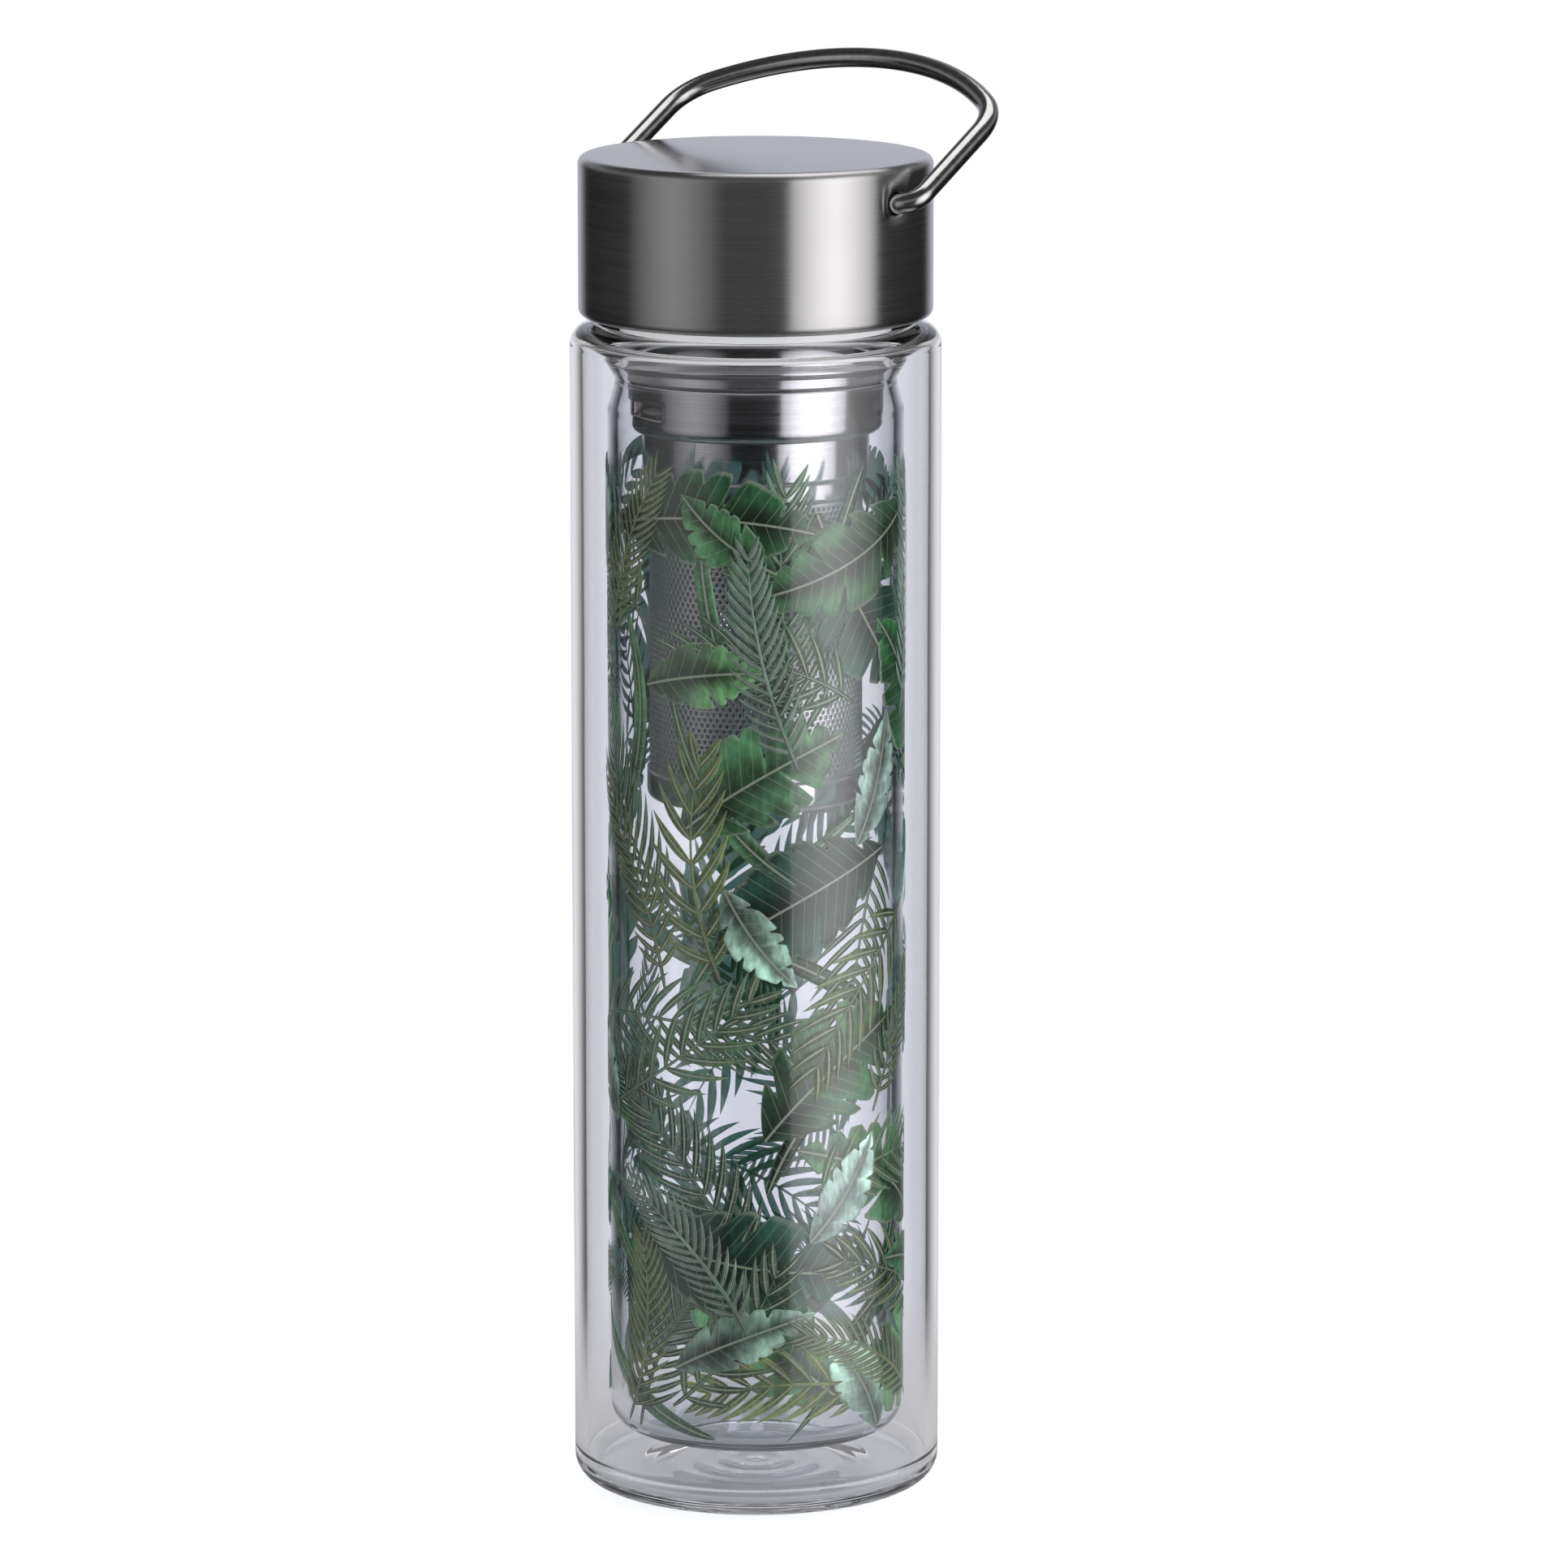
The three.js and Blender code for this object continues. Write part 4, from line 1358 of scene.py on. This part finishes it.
    def build_tube(self) -> None:
        """Makes the sieve tube: cells in a brick pattern, each with a six-sided hole.

        Cell corners and the middles of its upper and lower edge lie on one lattice of half cells, so
        the rows share their points although every other row is half a cell further round.
        """
        columns = round(FULL_TURN * self.tube_radius / self.hole_pitch)
        low, high = (self.cup_top + self.holes_above_cup, self.skirt_bottom - self.holes_below_skirt)
        rows = round((high - low) / (self.hole_pitch * math.sin(math.pi / 3)))
        halves = columns * 2
        levels = np.concatenate([[self.tube_bottom], np.linspace(low, high, rows + 1), [self.tube_top]])
        angle, height = np.meshgrid(np.arange(halves) * FULL_TURN / halves, levels)
        lattice = np.stack([angle, height], -1).reshape(-1, 2)
        row, column = (values.ravel() for values in np.indices((rows, columns)))
        first = column * 2 + row % 2
        along = np.array([0, 1, 2, 2, 1, 0])
        up = np.array([0, 0, 0, 1, 1, 1])
        outer = (row[:, None] + 1 + up) * halves + (first[:, None] + along) % halves
        centre = np.stack([(first + 1) * FULL_TURN / halves, (levels[row + 1] + levels[row + 2]) / 2], -1)
        slope = math.atan(math.sin(math.pi / 3))
        turn = np.array([slope - math.pi, -math.pi / 2, -slope, slope, math.pi / 2, math.pi - slope])
        ring = self.hole_radius * np.stack([np.cos(turn) / self.tube_radius, np.sin(turn)], -1)
        flat = np.concatenate([lattice, (centre[:, None] + ring).reshape(-1, 2)])
        inner = len(lattice) + np.arange(len(row) * 6).reshape(-1, 6)
        cells = np.stack([outer, np.roll(outer, -1, 1), np.roll(inner, -1, 1), inner], -1).reshape(-1, 4)
        plain = grid_quads(len(levels), halves, False, True).reshape(len(levels) - 1, halves, 4)
        quads = np.concatenate([cells, plain[0], plain[-1]])
        points = np.stack([self.tube_radius * np.cos(flat[:, 0]), self.tube_radius * np.sin(flat[:, 0]),
                           flat[:, 1]], -1)
        tube = add_piece("basket_sieve", Surface(points, quads), [SIEVE_STEEL.material()], "basket",
                         ("basket_tube",))
        thicken(tube, self.basket_gauge, -1)

    def build_cup(self) -> None:
        """Makes the cup that closes the tube: a drawn sheet with a shallow ring pressed in its floor."""
        half = self.basket_gauge / 2
        wall, low = (self.cup_radius - half, self.cup_bottom + half)
        pressed = low + self.press_rise
        profile = rounded([
            Corner(0, low),
            Corner(self.press_inner, low, self.press_round),
            Corner(self.press_inner + self.press_slope, pressed, self.press_round),
            Corner(self.press_outer - self.press_slope, pressed, self.press_round),
            Corner(self.press_outer, low, self.press_round),
            Corner(wall, low, self.cup_round, self.cup_rows),
            Corner(wall, self.cup_top),
        ])
        cup = add_piece("basket_cup_sheet", turned(profile), [TURNED_STEEL.material()], "basket",
                        ("basket_cup",))
        thicken(cup, self.basket_gauge, 0)

    def build(self) -> None:
        """Makes the seat, the collar and the three pieces of the basket."""
        self.build_seal()
        self.build_collar()
        self.build_ring()
        self.build_tube()
        self.build_cup()


@dataclass
class ScrewCap:
    """Steel shell over a plastic liner with its thread, and the gasket under the liner's disc.

    Rows are the spacings of a profile's rows.
    """

    gauge: float = 0.6
    top_round: float = 1.4
    top_rows: float = 2.0
    crown: float = 0.15
    curl: float = 1.5
    curl_lip: float = 0.2
    wall_rows: float = 3.0
    hinge_drop: float = 6.5
    hole_radius: float = 2.05
    hole_cells: int = 3
    window_cells: int = 6
    dish_depth: float = 0.45
    dish_width: float = 1.3
    liner_wall: float = 1.3
    liner_disc: float = 2.0
    liner_fillet: float = 0.8
    liner_lip_round: float = 0.4
    liner_top_round: float = 0.6
    liner_disc_rows: float = 3.0
    liner_wall_rows: float = 4.0
    thread_start: float = 1.8
    thread_turns: float = 2.0
    thread_depth: float = 0.35
    thread_pitch: float = 3.6
    thread_half: float = 0.75
    thread_rows: float = 0.4
    gasket_width: float = 7.0
    gasket_round: float = 0.3
    gasket_rise: float = 0.1
    gasket_top_rows: float = 2.0
    bead_depth: float = 0.08
    bead_half: float = 0.6
    bead_rows: float = 0.5

    def __post_init__(self) -> None:
        """Reads the radii and heights that the solids give."""
        self.radius, self.bottom, self.top = reach("cap_shell")
        self.liner_radius, self.liner_bottom, self.liner_top = reach("cap_liner")
        self.gasket_radius, self.gasket_bottom, self.gasket_top = reach("cap_gasket")
        self.hinge_height = self.top - self.hinge_drop
        self.cell = self.hole_radius / self.hole_cells
        self.window = self.cell * self.window_cells

    def beside_hinge(self, angle: np.ndarray, height: np.ndarray) -> tuple[np.ndarray, np.ndarray]:
        """Arc length and height from the nearer of the two hinge points, at angles 0 and 180."""
        turn = np.mod(angle + math.pi / 2, math.pi) - math.pi / 2
        return turn * self.radius, height - self.hinge_height

    def hinge_shift(self, radius: np.ndarray, angle: np.ndarray, height: np.ndarray) -> Grids:
        """Makes each hinge window's square rings round towards its hole, and dishes the wall there.

        A point whose larger offset is c goes to c along its own direction, blended in from the
        window's edge; the dish is a bell curve of the distance past the hole's edge.

        Args:
            radius: radii of the shell's points.
            angle: their angles.
            height: their heights.

        Returns:
            The moved radii, angles and heights.
        """
        sideways, upwards = self.beside_hinge(angle, height)
        ring = np.maximum(np.abs(sideways), np.abs(upwards))
        away = np.maximum(np.hypot(sideways, upwards), HAIR)
        share = smooth((self.window - ring) / (self.window - self.hole_radius))
        on_wall = radius > self.radius - self.top_round
        scale = 1 + share * (ring / away - 1) * on_wall
        past = (away * scale - self.hole_radius) / self.dish_width
        dish = self.dish_depth * np.exp(-np.clip(past, 0, None) ** 2) * share * on_wall
        turn = angle + sideways * (scale - 1) / self.radius
        return radius - dish, turn, self.hinge_height + upwards * scale

    def build_shell(self) -> None:
        """Makes the drawn shell: brushed wall with two hinge holes, satin top, rolled lower edge."""
        wall = self.radius
        profile = rounded([
            Corner(wall - self.curl - self.curl_lip, self.bottom),
            Corner(wall, self.bottom, self.curl, self.wall_rows),
            Corner(wall, self.hinge_height - self.window, 0, self.cell),
            Corner(wall, self.hinge_height + self.window),
            Corner(wall, self.top - self.crown, self.top_round, self.top_rows),
            Corner(0, self.top),
        ])
        near = np.arange(-self.window_cells, self.window_cells + 1) * self.cell / self.radius
        rest = np.linspace(near[-1], math.pi + near[0], AROUND // 2)[1:-1]
        angles = np.sort(np.mod(np.concatenate([near, rest, near + math.pi, rest + math.pi]), FULL_TURN))

        def holed(radius: np.ndarray, angle: np.ndarray, height: np.ndarray) -> np.ndarray:
            """Finds the cells inside a hole's square.

            Args:
                radius: radii of the cells' middles.
                angle: their angles.
                height: their heights.

            Returns:
                True for each cell that is left open.
            """
            sideways, upwards = self.beside_hinge(angle, height)
            ring = np.maximum(np.abs(sideways), np.abs(upwards))
            return (ring < self.hole_radius) & (radius > self.radius - TOUCH)

        def on_top(middles: np.ndarray) -> np.ndarray:
            """1 for the satin top inside its rounded edge, 0 for the brushed wall."""
            return np.hypot(middles[:, 0], middles[:, 1]) < self.radius - self.top_round

        finishes = [BRUSHED_STEEL.material(), SATIN_STEEL.material()]
        shell = add_piece("cap_shell_sheet", turned(profile, angles, shift=self.hinge_shift, skip=holed),
                          finishes, "cap", ("cap_shell",), on_top)
        thicken(shell, self.gauge, -1)

    def build_liner(self) -> None:
        """Makes the plastic liner with its screw thread inside."""
        bore = self.liner_radius - self.liner_wall
        disc = self.liner_top - self.liner_disc
        profile = rounded([
            Corner(0, disc, spacing=self.liner_disc_rows),
            Corner(bore, disc, self.liner_fillet, self.thread_rows),
            Corner(bore, self.liner_bottom, self.liner_lip_round),
            Corner(self.liner_radius, self.liner_bottom, self.liner_lip_round, self.liner_wall_rows),
            Corner(self.liner_radius, self.liner_top, self.liner_top_round, self.liner_disc_rows),
            Corner(0, self.liner_top),
        ])

        def threaded(radius: np.ndarray, angle: np.ndarray, height: np.ndarray) -> Grids:
            """Lets the thread stand in from the bore.

            Args:
                radius: radii of the liner's points.
                angle: their angles.
                height: their heights.

            Returns:
                The moved radii, angles and heights.
            """
            start = self.liner_bottom + self.thread_start
            ridge = helix_ridge(angle, height, start, self.thread_turns, self.thread_pitch,
                                self.thread_half)
            in_bore = np.abs(radius - bore) < TOUCH
            return radius - self.thread_depth * ridge * in_bore, angle, height

        add_piece("cap_liner_moulding", turned(profile, shift=threaded), [POLYPROPYLENE.material()], "cap",
                  ("cap_liner",))

    def build_gasket(self) -> None:
        """Makes the flat gasket with rounded edges and a sealing bead on its underside."""
        inner = self.gasket_radius - self.gasket_width
        under = self.gasket_bottom + self.gasket_rise
        profile = rounded([
            Corner(inner, under, self.gasket_round, self.bead_rows),
            Corner(self.gasket_radius, under, self.gasket_round),
            Corner(self.gasket_radius, self.gasket_top, self.gasket_round, self.gasket_top_rows),
            Corner(inner, self.gasket_top, self.gasket_round),
        ], closed=True)

        def beaded(radius: np.ndarray, angle: np.ndarray, height: np.ndarray) -> Grids:
            """Lowers one round bead: a bell curve of the radius."""
            bead = np.exp(-((radius - inner - self.gasket_width / 2) / self.bead_half) ** 2)
            return radius, angle, height - self.bead_depth * bead * (height < under + NEAR)

        add_piece("cap_gasket_ring", turned(profile, closed=True, shift=beaded), [SILICONE.material()],
                  "gasket", ("cap_gasket",))

    def build(self) -> None:
        """Makes the shell, the liner and the gasket."""
        self.build_shell()
        self.build_liner()
        self.build_gasket()


@dataclass
class WireBail:
    """One bent wire whose ends turn in through the shell, leaning back as it does at rest."""

    cap: ScrewCap
    wire_radius: float = 1.75
    side_gap: float = 1.75
    reach_in: float = 3.4
    bend: float = 3.5
    height: float = 40.65
    corner: float = 11.0
    top_radius: float = 49.2
    tilt: float = 60.0
    step: float = 1.0
    sides: int = 28
    end_round: float = 0.5

    def route(self) -> np.ndarray:
        """Middle of the wire in the bail's own plane: lines and arcs at even steps.

        Returns:
            Rows of the way along the hinge and up the bail.
        """
        half = self.cap.radius + self.side_gap + self.wire_radius
        inner = self.cap.radius - self.cap.gauge - self.reach_in
        arch = self.height - self.top_radius
        out = half - self.corner
        up = arch + math.sqrt((self.top_radius - self.corner) ** 2 - out ** 2)
        lean = math.atan2(up - arch, out)
        arcs = [(half - self.bend, self.bend, self.bend, -math.pi / 2, 0.0),
                (out, up, self.corner, 0.0, lean),
                (0.0, arch, self.top_radius, lean, math.pi / 2)]
        rows = [np.array([[inner, 0.0]])]
        for across, rise, radius, start, end in arcs:
            turn = np.linspace(start, end, math.ceil(radius * (end - start) / self.step) * 2 + 1)[:, None]
            rows.append(np.hstack([across + radius * np.cos(turn), rise + radius * np.sin(turn)]))
        right = np.concatenate(rows)
        whole = np.concatenate([right, right[-2::-1] * [-1, 1]])
        travelled = np.append(0, np.cumsum(np.linalg.norm(np.diff(whole, axis=0), axis=1)))
        even = np.linspace(0, travelled[-1], math.ceil(travelled[-1] / self.step) + 1)
        return np.stack([np.interp(even, travelled, values) for values in whole.T], -1)

    def build(self) -> None:
        """Makes the wire with rounded ends, and leans it back about the hinge."""
        route = self.route()
        tilt = math.radians(self.tilt)
        lean = np.array([0, math.sin(tilt), math.cos(tilt)])
        upright = np.array([0, -math.cos(tilt), math.sin(tilt)])
        hinge = np.array([0, 0, self.cap.hinge_height])
        path = hinge + route[:, :1] * [1, 0, 0] + route[:, 1:] * lean
        radii = np.full(len(path), self.wire_radius)
        radii[[0, -1]] -= self.end_round
        add_piece("bail_wire", swept(path, radii, upright, self.sides), [POLISHED_STEEL.material()],
                  "handle", ("bail_handle",))


# Studio


def grey(value: float) -> tuple[float, float, float, float]:
    """A linear grey with an alpha of 1."""
    return (value, value, value, 1.0)


@dataclass(frozen=True)
class Softbox:
    """A panel that dims to its edges: degrees from the camera's side, metres, and its middle's radiance."""

    name: str
    azimuth: float
    height: float
    width: float
    tallness: float
    distance: float
    radiance: float
    spread: float


@dataclass
class Studio:
    """Camera, pale floor, white surround and soft panels, in metres and degrees.

    Spans over the room are cosines: of the angle from straight behind the bottle for the front, back
    and sides, and from straight up for the cove and what is steep. Spans of turns count reflections.
    """

    azimuth: float = 38.0
    elevation: float = 10.92
    distance: float = 1.42
    aim_height: float = 0.1255
    aside: float = 0.00494
    lens: float = 184.57
    sensor: float = 36.0
    bounces: int = 20
    white: str = "#ffffff"
    backdrop: str = "#c9ccd6"
    through_glass: str = "#f6f8ff"
    ambient: float = 0.42
    room: float = 0.012
    wall: float = 0.05
    shade: float = 0.003
    front_span: tuple[float, float] = (-0.95, -0.4)
    back_span: tuple[float, float] = (0.78, 0.98)
    cove: float = 0.24
    cove_span: tuple[float, float] = (0.05, 0.2)
    ceiling: float = 0.05
    ceiling_span: tuple[float, float] = (0.35, 0.6)
    deep_skins: float = 5.5
    bent_skins: float = 3.0
    bent_skins_half: float = 2.5
    bent_back_span: tuple[float, float] = (0.76, 0.98)
    side_span: tuple[float, float] = (0.2, 0.6)
    side_light: tuple[float, float] = (0.004, 0.1)
    steep_span: tuple[float, float] = (0.3, 0.75)
    steep_light: float = 0.8
    led_turns: tuple[float, float] = (1.5, 4.5)
    led_round: float = 0.55
    floor_colour: str = "#e6e6e8"
    floor_roughness: float = 0.9
    floor_radius: float = 0.18
    floor_rows: float = 0.04
    floor_drop: float = 0.0003
    floor_seen: float = 0.7
    floor_in_glass: float = 0.12
    shadow_radius: float = 0.05
    fade_radius: float = 0.171
    boxes: tuple[Softbox, ...] = (
        Softbox("right_softbox", 53.0, 0.1, 1.15, 1.6, 0.95, 2.25, 84.0),
        Softbox("left_softbox", -56.0, 0.05, 1.2, 1.2, 0.95, 0.46, 74.0),
        Softbox("top_softbox", 150.0, 1.0, 0.7, 0.7, 0.35, 1.6, 179.0),
    )

    def direction(self, azimuth: float) -> Vector:
        """Level direction from the bottle, in degrees to the right of the camera."""
        turn = math.radians(self.azimuth + azimuth)
        return Vector((math.sin(turn), -math.cos(turn), 0))

    def build_camera(self) -> None:
        """Sets the camera at the fitted angle and distance, a little to the bottle's side."""
        aim = Vector((0, 0, self.aim_height)) + self.direction(90) * self.aside
        rise = math.radians(self.elevation)
        back = self.direction(0) * math.cos(rise) + Vector((0, 0, math.sin(rise)))
        data = bpy.data.cameras.new("camera")
        data.lens = self.lens
        data.sensor_width = self.sensor
        camera = bpy.data.objects.new("camera", data)
        camera.location = aim + back * self.distance
        camera.rotation_euler = (-back).to_track_quat("-Z", "Y").to_euler()
        bpy.context.scene.collection.objects.link(camera)
        bpy.context.scene.camera = camera

    def build_boxes(self) -> None:
        """Hangs the panels.

        A panel's power is its middle's radiance times pi times its area, times the share that is left
        when its light fades evenly with the tangent of the angle to its half spread.
        """
        for box in self.boxes:
            data = bpy.data.lights.new(box.name, "AREA")
            data.shape = "RECTANGLE"
            data.size = box.width
            data.size_y = box.tallness
            half = math.radians(box.spread) / 2
            data.spread = half * 2
            data.energy = box.radiance * math.pi * box.width * box.tallness * (1 - half / math.tan(half))
            lamp = bpy.data.objects.new(box.name, data)
            lamp.location = self.direction(box.azimuth) * box.distance + Vector((0, 0, box.height))
            aim = Vector((0, 0, self.aim_height)) - lamp.location
            lamp.rotation_euler = aim.to_track_quat("-Z", "Y").to_euler()
            lamp.visible_camera = False
            bpy.context.scene.collection.objects.link(lamp)

    def build_world(self) -> None:
        """Makes the surround: white where it is looked at, straight or through glass.

        Reflections see a dark room with a dim cove, which turns white behind the bottle and grey
        behind the camera, and soft light is even. The surround differs with the kind of ray and the
        skins that it has crossed, as no real room does: it was set for this bottle.
        """
        world = bpy.data.worlds.new("studio")
        world.use_nodes = True
        world.cycles.sampling_method = "NONE"
        bpy.context.scene.world = world
        tree = world.node_tree
        tree.nodes.clear()
        path = add_node(tree, Kind.RAY).outputs
        skins, turns = (path["Transmission Depth"], path["Glossy Depth"])
        way = add_node(tree, Kind.COORDINATES).outputs["Generated"]
        behind = add_node(tree, Kind.DOT, way, tuple(self.direction(HALF_TURN))).outputs["Value"]
        level = add_node(tree, Kind.SEPARATE, way).outputs["Z"]
        front, back, low, high, wide = (
            add_node(tree, Kind.RANGE, value, *span, *light).outputs["Result"]
            for value, span, light in (
                (behind, self.front_span, (self.wall, self.room)),
                (behind, self.back_span, (0, 1)),
                (level, self.cove_span, (0, 1)),
                (level, self.ceiling_span, (self.cove, self.ceiling)),
                (behind, self.side_span, self.side_light),
            ))
        # A stand-in: the steel inside the bottle, past six skins or more, is shown a darker front wall
        # than the cap, which gives it its dark bands
        deep = add_node(tree, Kind.GREATER, skins, self.deep_skins).outputs["Value"]
        front = add_node(tree, Kind.MIX, deep, front, grey(self.shade)).outputs[MIXED]
        cloth = add_node(tree, Kind.MIX, back, front, linear(self.backdrop)).outputs[MIXED]
        above = add_node(tree, Kind.TINT, 1.0, low, high).outputs[MIXED]
        cloth = add_node(tree, Kind.LIGHTEN, 1.0, cloth, above).outputs[MIXED]
        # A stand-in: light turned round inside a glass wall is shown more white, also above and below,
        # and light that runs round inside the base an even grey, which keeps the edges from going black
        steep = add_node(tree, Kind.ABSOLUTE, level).outputs["Value"]
        for value, span, light in ((behind, self.bent_back_span, 1.0),
                                   (steep, self.steep_span, self.steep_light),
                                   (turns, self.led_turns, self.led_round)):
            more = add_node(tree, Kind.RANGE, value, *span, 0, light).outputs["Result"]
            wide = add_node(tree, Kind.MAXIMUM, wide, more).outputs["Value"]
        bent = add_node(tree, Kind.COMPARE, skins, self.bent_skins, self.bent_skins_half).outputs["Value"]
        room = add_node(tree, Kind.MIX, bent, cloth, wide).outputs[MIXED]
        # A depth above one half means that the light has met such a surface
        within, mirrored, scattered = (add_node(tree, Kind.GREATER, depth, 0.5).outputs["Value"]
                                       for depth in (skins, turns, path["Diffuse Depth"]))
        white = add_node(tree, Kind.MIX, within, linear(self.white), linear(self.through_glass))
        seen = add_node(tree, Kind.MIX, mirrored, white.outputs[MIXED], room).outputs[MIXED]
        soft = add_node(tree, Kind.MIX, scattered, seen, grey(self.ambient)).outputs[MIXED]
        shown = add_node(tree, Kind.BACKGROUND, soft).outputs["Background"]
        add_node(tree, Kind.WORLD_OUTPUT, shown)

    def floor_material(self) -> bpy.types.Material:
        """Makes a matt pale floor, white to the eye, that turns clear towards its edge.

        Returns:
            The new material.
        """
        material, tree = new_material("pale_floor")
        path = add_node(tree, Kind.RAY).outputs
        in_glass = add_node(tree, Kind.MULTIPLY, path["Is Transmission Ray"], self.floor_in_glass)
        seen = add_node(tree, Kind.MULTIPLY_ADD, path["Is Camera Ray"], self.floor_seen,
                        in_glass.outputs["Value"])
        shader = add_node(tree, Kind.PRINCIPLED, settings={
            "Roughness": self.floor_roughness, "Base Color": linear(self.floor_colour),
            "Emission Color": linear(self.white), "Emission Strength": seen.outputs["Value"],
        })
        place = add_node(tree, Kind.COORDINATES).outputs["Object"]
        away = add_node(tree, Kind.LENGTH, place).outputs["Value"]
        fade = add_node(tree, Kind.RANGE, away, self.shadow_radius, self.fade_radius, 0, 1)
        clear = add_node(tree, Kind.TRANSPARENT)
        faded = add_node(tree, Kind.MIX_SHADER, fade.outputs["Result"], shader.outputs["BSDF"],
                         clear.outputs["BSDF"])
        add_node(tree, Kind.MATERIAL_OUTPUT, faded.outputs["Shader"])
        return material

    def build_floor(self) -> None:
        """Lays a pale round floor that keeps a soft shadow and runs into the white surround."""
        profile = rounded([Corner(0, 0, spacing=self.floor_rows / MM), Corner(self.floor_radius / MM, 0)])
        surface = turned(profile)
        points = surface.points * MM - [0, 0, self.floor_drop]
        # The profile runs outwards, so its faces are turned over to look up
        faces = surface.quads[:, ::-1].tolist() + surface.tris[:, ::-1].tolist()
        mesh = bpy.data.meshes.new("floor")
        mesh.from_pydata(points.tolist(), [], faces)
        mesh.materials.append(self.floor_material())
        floor = bpy.data.objects.new("floor", mesh)
        bpy.context.scene.collection.objects.link(floor)

    def build(self) -> None:
        """Makes the camera, the light and the floor."""
        scene = bpy.context.scene
        scene.view_settings.view_transform = "Standard"
        # Light crosses eight glass skins and is turned round many times in the thick rim and base
        for kind in ("max", "glossy", "transmission"):
            setattr(scene.cycles, f"{kind}_bounces", self.bounces)
        self.build_camera()
        self.build_boxes()
        self.build_world()
        self.build_floor()


def write_sizes() -> None:
    """Updates the view layer; nothing is written."""
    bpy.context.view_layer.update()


def main() -> None:
    """Builds the studio and every sub-assembly, and reports each piece."""
    logging.basicConfig(level=logging.INFO, format="%(message)s")
    Studio().build()
    bottle = GlassBottle()
    bottle.build()
    LeafPrint(bottle).build()
    Strainer().build()
    cap = ScrewCap()
    cap.build()
    WireBail(cap).build()
    write_sizes()


if __name__ == "__main__":
    main()
